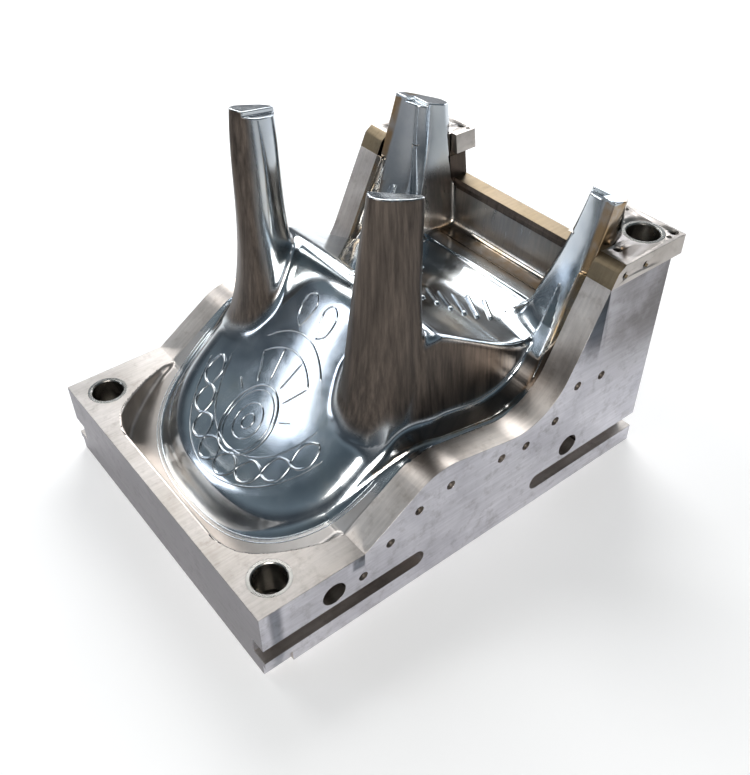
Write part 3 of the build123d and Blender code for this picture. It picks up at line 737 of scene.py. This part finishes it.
def ribbon(path, width, rise, closed=False, cap=0.0):
    """Vertices and quads of a rounded ridge along a path in plan, narrowing over its caps."""
    path = np.asarray(path, float)
    place = np.stack([path[:, 0], path[:, 1], drop(path[:, 0], path[:, 1])], axis=1)
    _, slope = field_slope(place)
    up = slope / np.linalg.norm(slope, axis=1, keepdims=True)
    ahead = np.roll(place, -1, 0) - np.roll(place, 1, 0)
    if not closed:
        ahead[0], ahead[-1] = place[1] - place[0], place[-1] - place[-2]
    ahead /= np.linalg.norm(ahead, axis=1, keepdims=True)
    side = np.cross(up, ahead)
    size = np.ones(len(path))
    if cap and not closed:
        gone = np.concatenate([[0], np.cumsum(np.linalg.norm(np.diff(place, axis=0), axis=1))])
        edge = np.minimum(gone, gone[-1] - gone)
        size = np.sqrt(np.clip(1 - (1 - np.clip(edge / cap, 0, 1)) ** 2, 0.03, 1))
    rows = [place + side * (width * a * size)[:, None] + up * (rise * b * np.sqrt(size))[:, None]
            for a, b in PROFILE]
    vertices = np.stack(rows, axis=1).reshape(-1, 3)
    count, wide = len(path), len(PROFILE)
    quads = []
    for i in range(count if closed else count - 1):
        j = (i + 1) % count
        quads += [(i * wide + k, i * wide + k + 1, j * wide + k + 1, j * wide + k)
                  for k in range(wide - 1)]
    return vertices, quads


def ribbon_piece(name, ribbons):
    """One object from several ribbons."""
    vertices, quads = [], []
    for more, faces in ribbons:
        start = sum(len(v) for v in vertices)
        vertices.append(more)
        quads += [tuple(start + i for i in face) for face in faces]
    piece = piece_from(name, np.concatenate(vertices), quads)
    print(name, len(quads), "quads")
    return piece


print("a ribbon has", len(PROFILE), "points across")

# %% Lines in plan
def circle(centre, radius, count=96):
    """Points round a circle in plan."""
    turn = np.linspace(0, 2 * math.pi, count, endpoint=False)
    return np.stack([centre[0] + radius * np.cos(turn), centre[1] + radius * np.sin(turn)], axis=1)


def smooth_line(points, count):
    """A smooth curve through points, by cubic steps between them."""
    points = np.asarray(points, float)
    ends = np.concatenate([2 * points[:1] - points[1:2], points, 2 * points[-1:] - points[-2:-1]])
    runs = []
    for i in range(len(points) - 1):
        a, b, c, d = ends[i:i + 4]
        t = np.linspace(0, 1, count, endpoint=False)[:, None]
        runs.append(0.5 * (2 * b + (c - a) * t + (2 * a - 5 * b + 4 * c - d) * t**2
                           + (3 * b - a - 3 * c + d) * t**3))
    return np.concatenate(runs + [points[-1:]])


print("a bend through 3 places has", len(smooth_line([(0, 0), (9, 3), (12, 12)], 40)), "points")

# %% [markdown]
# ### Braided border
# Round the low end of the back two waves braid between two border lines. The waves are sines
# flattened at the top, so that the loops are rounded like the cut ones, and both follow one
# middle line that is given by a few places of its near half.

# %% Braided border
BRAID_MIDDLE = [(262, 168), (222, 148), (186, 120), (160, 86), (143, 45), (137, 0)]
BRAID_REACH = 20.0
BRAID_CROSSINGS = 8
STRAND, BORDER = (6.5, 2.6), (3.2, 1.6)   # width and rise of a strand and of a border line
half = np.array(BRAID_MIDDLE, float)
middle = smooth_line(np.concatenate([half, half[-2::-1] * (1, -1)]), 40)
along = np.gradient(middle, axis=0)
along /= np.linalg.norm(along, axis=1, keepdims=True)
across_line = np.stack([-along[:, 1], along[:, 0]], axis=1)
gone = np.concatenate([[0], np.cumsum(np.linalg.norm(np.diff(middle, axis=0), axis=1))])
wave = np.sin(gone / gone[-1] * BRAID_CROSSINGS * math.pi)[:, None]
wave = np.sign(wave) * np.abs(wave) ** 0.7
braid = [ribbon(middle + across_line * wave * BRAID_REACH * side, *STRAND, cap=8)
         for side in (-1, 1)]
braid += [ribbon(middle + across_line * (BRAID_REACH + 6) * side, *BORDER, cap=8)
          for side in (-1, 1)]
braid_piece = ribbon_piece("braided_border", braid)

# %% [markdown]
# ### Rim lines
# Two fine lines run round the dome just outside its rim, where the backrest's edge is moulded.
# They follow the rim's own squared oval, a little enlarged.

# %% Rim lines
def rim_line(reach, last=300):
    """The rim's oval at a given reach, from the far side round the low end to the near side."""
    part = (RIM_CENTRE - last) / (RIM_LENGTH * reach)
    turn = np.linspace(-1, 1, 181) * math.acos(part ** (RIM_POWER / 2))
    s = RIM_CENTRE - RIM_LENGTH * reach * np.abs(np.cos(turn)) ** (2 / RIM_POWER)
    v = RIM_WIDTH * reach * np.abs(np.sin(turn)) ** (2 / RIM_POWER)
    return np.stack([s, np.sign(turn) * -v], axis=1)


rim_lines = [ribbon(rim_line(reach), 2.4, 0.9, cap=10) for reach in (1.045, 1.075)]
rim_piece = ribbon_piece("rim_lines", rim_lines)

# %% [markdown]
# ### Medallion
# A round insert sits in the middle of the back. It was ground flush with the dome, so only its
# rings stand out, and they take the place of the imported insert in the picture.

# %% Medallion
MEDALLION = (213.0, 0.0)
RINGS = ((60, 4.5, 3.0), (52, 3.0, 1.8), (31, 3.4, 2.0), (13, 3.4, 2.0))   # radius, width, rise
rings = [ribbon(circle(MEDALLION, radius), width, rise, closed=True)
         for radius, width, rise in RINGS]
medallion = ribbon_piece("medallion_rings", rings)
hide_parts("medallion_insert")

# %% [markdown]
# ### Fan and arcs
# From the medallion a fan of ribs spreads towards the ridge under two arcs, with a lobe to each
# side of the middle above them.

# %% Fan and arcs
fan = []
for radius in (118, 142):
    turn = np.radians(np.linspace(-38, 38, 50))
    arc = [MEDALLION[0] + radius * np.cos(turn), radius * np.sin(turn)]
    fan.append(ribbon(np.stack(arc, axis=1), 4.5, 2.2, cap=8))
for angle in (-64, -38, -14, 14, 38, 64):
    way = np.array([math.cos(math.radians(angle)), math.sin(math.radians(angle))])
    reach = 116 if abs(angle) < 60 else 96
    rib = np.array(MEDALLION) + np.linspace(68, reach, 16)[:, None] * way
    fan.append(ribbon(rib, 4, 2.2, cap=8))
for side in (-1, 1):
    lobe = [(s, v * side) for s, v in ((360, 26), (372, 44), (396, 46), (404, 26), (390, 12))]
    fan.append(ribbon(smooth_line(lobe + lobe[:1], 12)[:-1], 4, 2.0, closed=True))
fan_piece = ribbon_piece("fan_and_arcs", fan)

# %% [markdown]
# ### Seat ridges and gate ring
# Slanting ridges stand on the seat and mould its drain slots. The plastic enters through a small
# bush near the ridge, of which only a ring shows.

# %% Seat ridges and gate ring
SEAT_RIDGES = [((612, 12), (575, 80)), ((636, 22), (597, 98)), ((658, 32), (619, 114)),
               ((682, 46), (641, 130)), ((704, 66), (662, 144)), ((722, 96), (686, 156))]
GATE = (468, 0)
ridges = []
for start, end in SEAT_RIDGES:
    for side in (-1, 1):
        line = np.linspace(start, end, 30) * (1, side)
        ridges.append(ribbon(line, 12, 4.5, cap=8))
ridge_piece = ribbon_piece("seat_ridges", ridges)
gate = ribbon_piece("gate_ring", [ribbon(circle(GATE, 8.5, 48), 4, 1.4, closed=True)])
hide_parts("gate_bush")
ornament = [braid_piece, rim_piece, medallion, fan_piece, ridge_piece, gate]

# %% [markdown]
# ## Steel finishes
# The whole mould is hardened plastic-mould steel. What differs is how each face was finished:
# ground flats are matt and show fine parallel scratches, polished faces mirror the room, and the
# faces that only shut against the other half keep the brown heat tint. Steel is a metal, so the
# colour is its reflection, and roughness does most of the work.

# %% Colours and nodes
def linear(hex_code, alpha=1.0):
    """Linear colour from an sRGB hex code."""
    parts = [int(hex_code[i:i + 2], 16) / 255 for i in (1, 3, 5)]
    return [c / 12.92 if c <= 0.04045 else ((c + 0.055) / 1.055) ** 2.4 for c in parts] + [alpha]


def add(tree, kind, settings=None, stops=(), **links):
    """Adds a node with its settings; links name an input and give a value or another socket."""
    node = tree.nodes.new(kind)
    for key, value in (settings or {}).items():
        setattr(node, key, value)
    # Stops are places on a colour ramp, each with a hex code or a grey.
    for i, (place, colour) in enumerate(stops):
        elements = node.color_ramp.elements
        element = elements[i] if i < 2 else elements.new(place)
        element.position = place
        element.color = linear(colour) if isinstance(colour, str) else (colour, colour, colour, 1)
    for key, value in links.items():
        # i0 stands for the first input, and Base_Color for the input of that name.
        by_number = key[0] == "i" and key[1:].isdigit()
        socket = node.inputs[int(key[1:]) if by_number else key.replace("_", " ")]
        if isinstance(value, bpy.types.NodeSocket):
            tree.links.new(value, socket)
        else:
            socket.default_value = value
    return node


def new_material(name, metallic=1.0):
    """A material with its tree and its shader."""
    material = bpy.data.materials.new(name)
    material.use_nodes = True
    tree = material.node_tree
    tree.nodes.clear()
    output = add(tree, "ShaderNodeOutputMaterial")
    surface = add(tree, "ShaderNodeBsdfPrincipled", Metallic=metallic)
    tree.links.new(surface.outputs[0], output.inputs[0])
    return material, tree, surface


print("sRGB #808080 is linear", round(linear("#808080")[0], 3))

# %% [markdown]
# ### Ground tool steel
# Flats and sides were surface-ground and then handled for years: light warm grey, satin, with
# fine scratches in the grinding direction and stains of old oil and rust preventive. A grinding
# mark is about 0.05 mm wide, far too fine to show here, so the scratches are drawn 5 mm wide and
# 90 mm long. The sides are a little more violet than the top, as thin oxide is.

# %% Old oil and painted shade on the sides
def oil_stain_and_shade(tree, place, clouds):
    """Share of old oil and painted shade at the upper high end, by places in metres from the
    object's middle.
    """
    where = add(tree, "ShaderNodeSeparateXYZ", Vector=place)
    # The share grows towards the upper high end: partly an oil stain, partly painted shade.
    along = add(tree, "ShaderNodeMapRange", {"interpolation_type": "SMOOTHSTEP"},
                Value=where.outputs["X"], From_Min=0.16, From_Max=0.40)
    above = add(tree, "ShaderNodeMapRange", {"interpolation_type": "SMOOTHSTEP"},
                Value=where.outputs["Z"], From_Min=0.15, From_Max=0.36)
    both = add(tree, "ShaderNodeMath", {"operation": "MULTIPLY"}, i0=along.outputs[0],
               i1=above.outputs[0])
    patchy = add(tree, "ShaderNodeValToRGB", stops=[(0.35, 0.35), (0.6, 0.85)], Fac=clouds)
    return add(tree, "ShaderNodeMath", {"operation": "MULTIPLY"}, i0=both.outputs[0],
               i1=patchy.outputs[0]).outputs[0]


print("the oil starts at station", round(160 - LOW_END))

# %% Ground steel
STAIN_CLOUDS = 7.0      # noise scale of clouds about 150 mm across
STAIN_SPOTS = 38.0      # and of spots about 25 mm across


def ground_steel(name, light, dark, stain, stretch, rough=(0.30, 0.52), stain_amount=0.35,
                 stain_and_shade=None):
    """Steel ground along one direction; stretch is how tightly its marks repeat along X, Y, Z."""
    material, tree, surface = new_material(name)
    place = add(tree, "ShaderNodeTexCoord").outputs["Object"]
    clouds = add(tree, "ShaderNodeTexNoise", Vector=place, Scale=STAIN_CLOUDS, Detail=7.0,
                 Roughness=0.62).outputs["Fac"]
    run = add(tree, "ShaderNodeMapping", Vector=place, Scale=stretch).outputs[0]
    marks = add(tree, "ShaderNodeTexNoise", Vector=run, Scale=1.0, Detail=3.0,
                Roughness=0.6).outputs["Fac"]
    spots = add(tree, "ShaderNodeTexNoise", Vector=place, Scale=STAIN_SPOTS, Detail=5.0,
                Roughness=0.7).outputs["Fac"]
    base = add(tree, "ShaderNodeValToRGB", stops=[(0.30, dark), (0.62, light)],
               Fac=clouds).outputs[0]
    dirt = add(tree, "ShaderNodeValToRGB", stops=[(0.52, 0), (0.70, 1)], Fac=spots).outputs[0]
    cover = add(tree, "ShaderNodeMath", {"operation": "MULTIPLY"}, i0=dirt, i1=stain_amount)
    shaded = add(tree, "ShaderNodeMix", {"data_type": "RGBA"}, i0=cover.outputs[0], i6=base,
                 i7=linear(stain)).outputs[2]
    if stain_and_shade:
        # Patchy old oil, mixed with painted shade towards the upper high end.
        shaded = add(tree, "ShaderNodeMix", {"data_type": "RGBA"},
                     i0=oil_stain_and_shade(tree, place, clouds), i6=shaded, i7=linear(stain_and_shade)).outputs[2]
    scratches = add(tree, "ShaderNodeValToRGB", stops=[(0.35, 0.62), (0.65, 1)],
                    Fac=marks).outputs[0]
    fine = add(tree, "ShaderNodeMix", {"data_type": "RGBA", "blend_type": "MULTIPLY"}, i0=0.35,
               i6=shaded, i7=scratches)
    tree.links.new(fine.outputs[2], surface.inputs["Base Color"])
    gloss = add(tree, "ShaderNodeMapRange", Value=clouds, From_Min=0.3, From_Max=0.7,
                To_Min=rough[0], To_Max=rough[1])
    tree.links.new(gloss.outputs[0], surface.inputs["Roughness"])
    edge = add(tree, "ShaderNodeBevel", {"samples": 4}, Radius=0.0016)
    bump = add(tree, "ShaderNodeBump", Strength=0.12, Distance=0.0004, Height=marks,
               Normal=edge.outputs[0])
    tree.links.new(bump.outputs[0], surface.inputs["Normal"])
    return material


print("stains are clouds of", round(1000 / STAIN_CLOUDS), "mm and spots of",
      round(1000 / STAIN_SPOTS), "mm")

# %% The block's ground steels
# Flats and land are satin and light, with scratches along the block.
ground_top = ground_steel("ground_steel_flat", "#CCC6C1", "#A9A29B", "#7B7066", (12, 220, 12))
# Sides are cooler, with level scratches, old oil and painted shade. Painted shade makes the ends
# darker.
ground_side = ground_steel("ground_steel_side", "#D9D8DE", "#B4B3BB", "#6C6664", (10, 10, 200),
                           stain_and_shade="#5F5A58")
shaded_end_steel = ground_steel("ground_steel_end_painted_shade", "#979498", "#6E6B70", "#4E4846", (10, 10, 200))
# The ramps and sweeps were milled with a small step, and are a little warmer and glossier.
sweep_steel = ground_steel("milled_steel_sweep", "#DDD5CE", "#B7ADA5", "#8C7B6B", (14, 180, 14),
                           rough=(0.26, 0.46))
# Heat has tinted the ledges a dull straw.
stained_ledge = ground_steel("straw_tinted_ledge", "#8F8068", "#6E6150", "#4C4136", (10, 160, 10))
print("ground steels:", ground_top.name, ground_side.name, shaded_end_steel.name, sweep_steel.name)

# %% [markdown]
# ### Shut-off steel
# Where the two halves shut on each other the steel is not polished. Heat and rust preventive have
# turned it brown, and it carries streaks down the draft, the way the halves slide. Real streaks
# are hair-fine, and here they are drawn about 9 mm wide so that they show.

# %% Brown shut-off steel
STREAKS = (110, 110, 7)   # how tightly streaks repeat along X, Y and Z, so that they run down


def shut_off_steel(name, light="#574D46", dark="#38322E"):
    """Heat-tinted steel with streaks down the draft."""
    material, tree, surface = new_material(name)
    place = add(tree, "ShaderNodeTexCoord").outputs["Object"]
    run = add(tree, "ShaderNodeMapping", Vector=place, Scale=STREAKS).outputs[0]
    streaks = add(tree, "ShaderNodeTexNoise", Vector=run, Scale=1.0, Detail=6.0,
                  Roughness=0.65).outputs["Fac"]
    clouds = add(tree, "ShaderNodeTexNoise", Vector=place, Scale=9.0, Detail=5.0).outputs["Fac"]
    both = add(tree, "ShaderNodeMath", {"operation": "ADD"}, i0=streaks, i1=clouds).outputs[0]
    mean = add(tree, "ShaderNodeMath", {"operation": "MULTIPLY"}, i0=both, i1=0.5).outputs[0]
    base = add(tree, "ShaderNodeValToRGB", stops=[(0.38, dark), (0.62, light)], Fac=mean)
    tree.links.new(base.outputs[0], surface.inputs["Base Color"])
    gloss = add(tree, "ShaderNodeMapRange", Value=streaks, From_Min=0.3, From_Max=0.7,
                To_Min=0.26, To_Max=0.46)
    tree.links.new(gloss.outputs[0], surface.inputs["Roughness"])
    edge = add(tree, "ShaderNodeBevel", {"samples": 4}, Radius=0.002)
    bump = add(tree, "ShaderNodeBump", Strength=0.10, Distance=0.0005, Height=streaks,
               Normal=edge.outputs[0])
    tree.links.new(bump.outputs[0], surface.inputs["Normal"])
    return material


# Walls and posts look like dark bronze. The bores are painted a lighter grey as painted light.
shut_off = shut_off_steel("shut_off_steel")
bore_painted_lighter = shut_off_steel("bore_steel_painted_lighter", "#6A6560", "#34302D")
print("shut-off steels:", shut_off.name, bore_painted_lighter.name)

# %% [markdown]
# ### The chair's steel
# On the chair itself the finishes run into each other: mirror polish where the plastic shows,
# brown shut-off steel under the armrests and on the outer sides of the posts, and a straw-gold
# heat tint along the parting line. Each is a mask stored on the vertices, worked out from where
# the vertex is and which way it faces. Painted masks would do too, but they could not be
# repeated by a script.

# %% Masks on the chair surface
def shut_off_share(points, normals):
    """1 on the brown shut-off faces, 0 where the steel is polished."""
    s, y, z = points.T
    v = np.abs(y)
    across, up = normals[:, 1] * np.sign(y), normals[:, 2]
    rear = only_near((s > 290) & (s < 520) & (v > 90), rear_sides, s, v, z)
    # The posts are brown but for the side that looks to the seat and the middle plane.
    turned = 0.75 * normals[:, 0] - 0.66 * across
    on_post = step(4.5 - rear, 0, 0.8) * step(0.45 - turned, 0, 0.05) * step(0.6 - up, 0, 0.04)
    on_post *= step(z - chair_top(s, v) + 62, 0, 4) * step(z - 262, 0, 3)
    wall = (np.abs(wall_face(v, z)) < 5) * step(s, 400, 4) * step(690 - s, 0, 6)
    wall = wall * step(z - band_height(s, v), 9, 1.5) * step(0.5 - up, 0, 0.05)
    trough = step(s, 806, 6) * (v < 206) * step(450 - z, 0, 6) * (z > 300)
    trough = 0.8 * trough * np.maximum(step(-across, 0.6, 0.1), step(0.5 - up, 0, 0.05))
    return np.clip(np.maximum.reduce([on_post, wall, trough]), 0, 1)


def straw_share(points, normals):
    """1 where heat has tinted the steel a straw gold."""
    s, y, z = points.T
    v = np.abs(y)
    low = z < band_height(s, v) + 14
    parting = np.exp(-np.abs(v - band_edge(s) + 4) / 5.0) * (s > 300) * low
    strip = step(v, band_edge(s) + 1, 1.0) * step(s, 655, 12) * (z < 585)
    seat_edge = 0.85 * step(s, 818, 3) * (v < 190) * step(normals[:, 2], 0.45, 0.1) * (z < 345)
    seat_edge = np.maximum(seat_edge, 0.12 * (s > 850) * (v < 190) * (z < 405))
    return np.clip(np.maximum.reduce([parting, strip, seat_edge]), 0, 1)


def ground_share(points, normals):
    """1 on the land round the dome, which is ground like the flats."""
    s, y, _ = points.T
    return step(outside_rim(s, np.abs(y)), 13, 1.5) * step(292 - s, 0, 10)


MASKS = {"shut_off": shut_off_share, "straw": straw_share, "ground": ground_share}
print("masks:", list(MASKS))

# %% The chair's pieces with their masks
chair = []
for name, points, normals, quads in surfaces:
    piece = piece_from(name, points, quads)
    piece.data.normals_split_custom_set_from_vertices(normals.tolist())
    for mask, share_of in MASKS.items():
        layer = piece.data.attributes.new(mask, "FLOAT", "POINT")
        layer.data.foreach_set("value", share_of(points, normals).astype(np.float32))
    chair.append(piece)
print("pieces of the chair's surface:", [piece.name for piece in chair])

# %% [markdown]
# ### Polishing the chair
# The polished steel was stoned and lapped until it mirrors the room, with a faint haze left by
# wiping. One material mixes it with the brown, straw and ground steel by the three masks, so that
# the finishes fade into each other as they do on the real mould.

# %% Patterns of the polished steel
polished, tree, surface = new_material("mirror_polished_tool_steel")
place = add(tree, "ShaderNodeTexCoord").outputs["Object"]
# Clouds about 110 mm across and wiping haze about 40 mm across.
clouds = add(tree, "ShaderNodeTexNoise", Vector=place, Scale=9.0, Detail=5.0,
             Roughness=0.55).outputs["Fac"]
haze = add(tree, "ShaderNodeTexNoise", Vector=place, Scale=26.0, Detail=4.0,
           Roughness=0.6).outputs["Fac"]
run = add(tree, "ShaderNodeMapping", Vector=place, Scale=STREAKS).outputs[0]
streaks = add(tree, "ShaderNodeTexNoise", Vector=run, Scale=1.0, Detail=6.0,
              Roughness=0.65).outputs["Fac"]
masks = {mask: add(tree, "ShaderNodeAttribute", {"attribute_name": mask}).outputs["Fac"]
         for mask in MASKS}
print("its patterns and masks are", len(tree.nodes), "nodes")

# %% Colour of the polished steel
# Polished steel is a cool bright grey, the shut-off steel brown and the ground land warm grey.
bright = add(tree, "ShaderNodeValToRGB", Fac=clouds,
             stops=[(0.30, "#B4BBC2"), (0.55, "#C9CED1"), (0.75, "#D2D1CC")]).outputs[0]
brown = add(tree, "ShaderNodeValToRGB", Fac=streaks,
            stops=[(0.34, "#3F3935"), (0.50, "#544C46"), (0.68, "#6B6159")]).outputs[0]
satin = add(tree, "ShaderNodeValToRGB", Fac=clouds,
            stops=[(0.30, "#ADA6A0"), (0.62, "#CCC6C1")]).outputs[0]
patchy = add(tree, "ShaderNodeMapRange", Value=haze, From_Min=0.3, From_Max=0.6, To_Min=0.45,
             To_Max=1.0).outputs[0]
straw = add(tree, "ShaderNodeMath", {"operation": "MULTIPLY"}, i0=masks["straw"], i1=patchy)
colour = add(tree, "ShaderNodeMix", {"data_type": "RGBA"}, i0=masks["shut_off"], i6=bright,
             i7=brown).outputs[2]
colour = add(tree, "ShaderNodeMix", {"data_type": "RGBA"}, i0=straw.outputs[0], i6=colour,
             i7=linear("#A08767")).outputs[2]
colour = add(tree, "ShaderNodeMix", {"data_type": "RGBA"}, i0=masks["ground"], i6=colour,
             i7=satin).outputs[2]
tree.links.new(colour, surface.inputs["Base Color"])
print("with its colours there are", len(tree.nodes), "nodes")

# %% Gloss of the polished steel
mirror = add(tree, "ShaderNodeMapRange", Value=haze, From_Min=0.3, From_Max=0.7, To_Min=0.09,
             To_Max=0.20).outputs[0]
matt = add(tree, "ShaderNodeMapRange", Value=streaks, From_Min=0.3, From_Max=0.7, To_Min=0.28,
           To_Max=0.46).outputs[0]
gloss = add(tree, "ShaderNodeMix", i0=masks["shut_off"], i2=mirror, i3=matt).outputs[0]
gloss = add(tree, "ShaderNodeMix", i0=masks["ground"], i2=gloss, i3=0.34).outputs[0]
tree.links.new(gloss, surface.inputs["Roughness"])
bump = add(tree, "ShaderNodeBump", Strength=0.03, Distance=0.002, Height=clouds)
tree.links.new(bump.outputs[0], surface.inputs["Normal"])
for piece in chair + ornament:
    piece.data.materials.append(polished)
print(polished.name, "is on", len(chair + ornament), "pieces")

# %% [markdown]
# ## Finishes on the block's faces
# Each face of the block takes its finish from where it lies: flats and land are ground, the sides
# are ground and stained, the trough's walls are brown, and the ledge above them is straw-tinted.

# %% Assign finishes to the block
FINISHES = [ground_top, ground_side, shaded_end_steel, sweep_steel, shut_off, stained_ledge, bore_painted_lighter]


def finish_of(face):
    """The steel of one face of the block."""
    s, v, z = to_station(face.center)
    n = face.normal
    if abs(n.y) > 0.9 and v > 300:
        return ground_side
    # The end faces take the steel that is painted darker as shade.
    if abs(n.x) > 0.95 and (s < 2 or s > LENGTH - 2):
        return shaded_end_steel
    if s > DIP[0] and v < 200 and z > 300:
        if abs(n.y) > 0.5 or abs(n.x) > 0.6:
            return shut_off
        return stained_ledge if z > LEDGE - 5 else ground_top
    if s > RAMP_START and v > 190 and z > 150 and n.z > 0.02:
        return sweep_steel
    # Upright inner faces such as bores take the steel painted lighter as painted light.
    if z > 75 and abs(n.z) < 0.2 and v < 359:
        return bore_painted_lighter
    return ground_top


for material in FINISHES:
    block.data.materials.append(material)
for face in block.data.polygons:
    face.material_index = FINISHES.index(finish_of(face))
print("block finishes:", [material.name for material in FINISHES])

# %% [markdown]
# ## Shoulder plates
# Each bolted plate carries a guide bush and closes round the front post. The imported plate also
# has a strip in front of the post, where on the real mould the post's own steel comes forward,
# so the plate is copied and that strip is cut away.

# %% Shoulder plates without the strip
STRIP_WIDTH, STRIP_END = 301.5, 802    # half width and station where the strip in front ends
TONGUE_WIDTH, TONGUE_END = 216, 905    # and the tongue towards the trough


def cut_plate(side, name):
    """A copy of a plate without the strip and the tongue."""
    form = packed_form(nodes[name])
    bmesh.ops.remove_doubles(form, verts=form.verts[:], dist=1e-6)
    planes = [((0, side * width / 1000, 0), (0, 1, 0)) for width in (STRIP_WIDTH, TONGUE_WIDTH)]
    planes += [(to_scene(station, 0, 0), (1, 0, 0)) for station in (STRIP_END, TONGUE_END)]
    split_along(form, planes)
    cut = []
    for face in form.faces:
        s, v, _ = to_station(face.calc_center_median())
        if (s < STRIP_END and v < STRIP_WIDTH - 0.1) or (s < TONGUE_END and v < TONGUE_WIDTH):
            cut.append(face)
    bmesh.ops.delete(form, geom=cut, context="FACES")
    # One new face closes the end that the cut has opened.
    rim = []
    for vert in form.verts:
        s, v, _ = to_station(vert.co)
        if abs(s - TONGUE_END) < 0.01 and v < TONGUE_WIDTH + 0.1 and vert.is_boundary:
            rim.append(vert)
    middle = sum((vert.co for vert in rim), Vector()) / len(rim)
    rim.sort(key=lambda vert: math.atan2(vert.co.z - middle.z, vert.co.y - middle.y))
    form.faces.new(rim)
    bmesh.ops.recalc_face_normals(form, faces=form.faces[:])
    plate = finished_copy(form, name + "_cut")
    plate.data.materials.append(ground_top)
    plate.data.materials.append(stained_ledge)
    # The chamfer over the sweep has the ledge's straw tint.
    for face in plate.data.polygons:
        face.material_index = int(face.normal.x < -0.4 and face.normal.z > 0.3)
    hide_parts(name)
    return plate


plates = [cut_plate(1, "shoulder_plate_far"), cut_plate(-1, "shoulder_plate_near")]
print("plates:", [len(plate.data.polygons) for plate in plates])

# %% [markdown]
# ## Loose parts
# Bushes are honed in the bore and ground outside, so they are the brightest. The plugs in the
# cooling ports were turned from bar and have gone dull, and the screws are blackened, which
# leaves a dark film that oil keeps from rusting.

# %% Loose parts
bush_steel = ground_steel("honed_bush_steel", "#BFBDB8", "#98958F", "#5E5850", (40, 40, 160),
                          rough=(0.18, 0.34), stain_amount=0.2)
plug_steel = ground_steel("turned_plug_steel", "#7D7873", "#4A4642", "#2E2A27", (60, 60, 60),
                          rough=(0.32, 0.5))
black_steel = ground_steel("blackened_screw_steel", "#57534F", "#2E2B29", "#3C2F26", (60, 60, 60),
                           rough=(0.35, 0.5))
LOOSE = {"guide_bush": bush_steel, "cooling_plug": plug_steel, "plate_screw": black_steel,
         "plate_dowel": black_steel, "side_screw": black_steel}
for name, node in nodes.items():
    kind = next((kind for kind in LOOSE if name.startswith(kind)), None)
    material = LOOSE.get(kind, polished)
    if node.material_slots:
        for holder in node.material_slots:
            holder.material = material
    else:
        node.data.materials.append(material)
print("loose parts finished:", len(nodes))

# %% [markdown]
# ## Floor
# The photograph shows the mould on white. A large pale sheet fills the view, and it glows a
# little, so that it stays white while the mould's shadow still falls on it.

# %% Floor
floor_mesh = bpy.data.meshes.new("floor")
floor_mesh.from_pydata([(-9, -9, -0.0005), (12, -9, -0.0005), (12, 12, -0.0005), (-9, 12, -0.0005)],
                       [], [(0, 1, 2, 3)])
floor = bpy.data.objects.new("floor", floor_mesh)
bpy.context.collection.objects.link(floor)
paper, tree, surface = new_material("white_paper", metallic=0.0)
surface.inputs["Base Color"].default_value = linear("#F4F4F4")
surface.inputs["Roughness"].default_value = 0.9
surface.inputs["Emission Color"].default_value = linear("#FFFFFF")
surface.inputs["Emission Strength"].default_value = 0.2
floor.data.materials.append(paper)
print("floor", floor.dimensions.x, "m wide")

# %% [markdown]
# ## Light
# The light is a studio's: one big soft panel behind and above, smaller ones to the sides, and a
# large one behind the camera. The room is darker near the horizon and overhead, so that the
# polished steel has something light and something dark to mirror. An image of a room would do
# the same, but a colour ramp over height is enough and needs no file.

# %% Lights
# Colours of the room from the horizon at 0 to straight up at 1.
ROOM = [(0.0, "#B4B4B6"), (0.14, "#565C62"), (0.3, "#454C53"), (0.5, "#7C8992"), (0.7, "#5C6870"),
        (0.92, "#2E353A")]
# Name, place and target in metres, size in metres, power in watts and colour.
PANELS = [("high_back", (1.9, 2.4, 2.6), (0, 0, 0.2), (2.6, 2.4), 105, "#FFFFFF"),
          ("high_left", (-1.0, 2.4, 3.1), (0, 0, 0.2), (1.3, 1.1), 23, "#FFFFFF"),
          ("left_window", (-2.9, 2.4, 1.9), (0, 0, 0.3), (0.5, 1.3), 9, "#EAF2FF"),
          ("back_strip", (0.2, 3.6, 1.6), (0, 0, 0.3), (0.4, 1.2), 8, "#EAF2FF"),
          ("right_window", (3.4, 1.0, 1.0), (0, 0, 0.4), (1.4, 1.2), 16, "#F4F7FF"),
          ("behind_camera", (-2.4, -3.2, 3.4), (0, 0, 0.2), (2.6, 1.8), 150, "#FFFBF6")]
bpy.context.scene.view_settings.view_transform = "Standard"
world = bpy.data.worlds.new("studio")
bpy.context.scene.world = world
world.use_nodes = True
tree = world.node_tree
tree.nodes.clear()
sky = add(tree, "ShaderNodeTexCoord").outputs["Generated"]
height = add(tree, "ShaderNodeSeparateXYZ", Vector=sky).outputs["Z"]
tone = add(tree, "ShaderNodeValToRGB", stops=ROOM, Fac=height)
background = add(tree, "ShaderNodeBackground", Color=tone.outputs[0], Strength=1.0)
add(tree, "ShaderNodeOutputWorld", Surface=background.outputs[0])
for name, place, target, size, power, colour in PANELS:
    data = bpy.data.lights.new(name, "AREA")
    data.shape = "RECTANGLE"
    data.size, data.size_y = size
    data.energy = power
    data.color = linear(colour)[:3]
    light = bpy.data.objects.new(name, data)
    bpy.context.collection.objects.link(light)
    light.location = place
    way = Vector(target) - Vector(place)
    light.rotation_euler = way.to_track_quat("-Z", "Y").to_euler()
print("lights:", [name for name, *_ in PANELS])
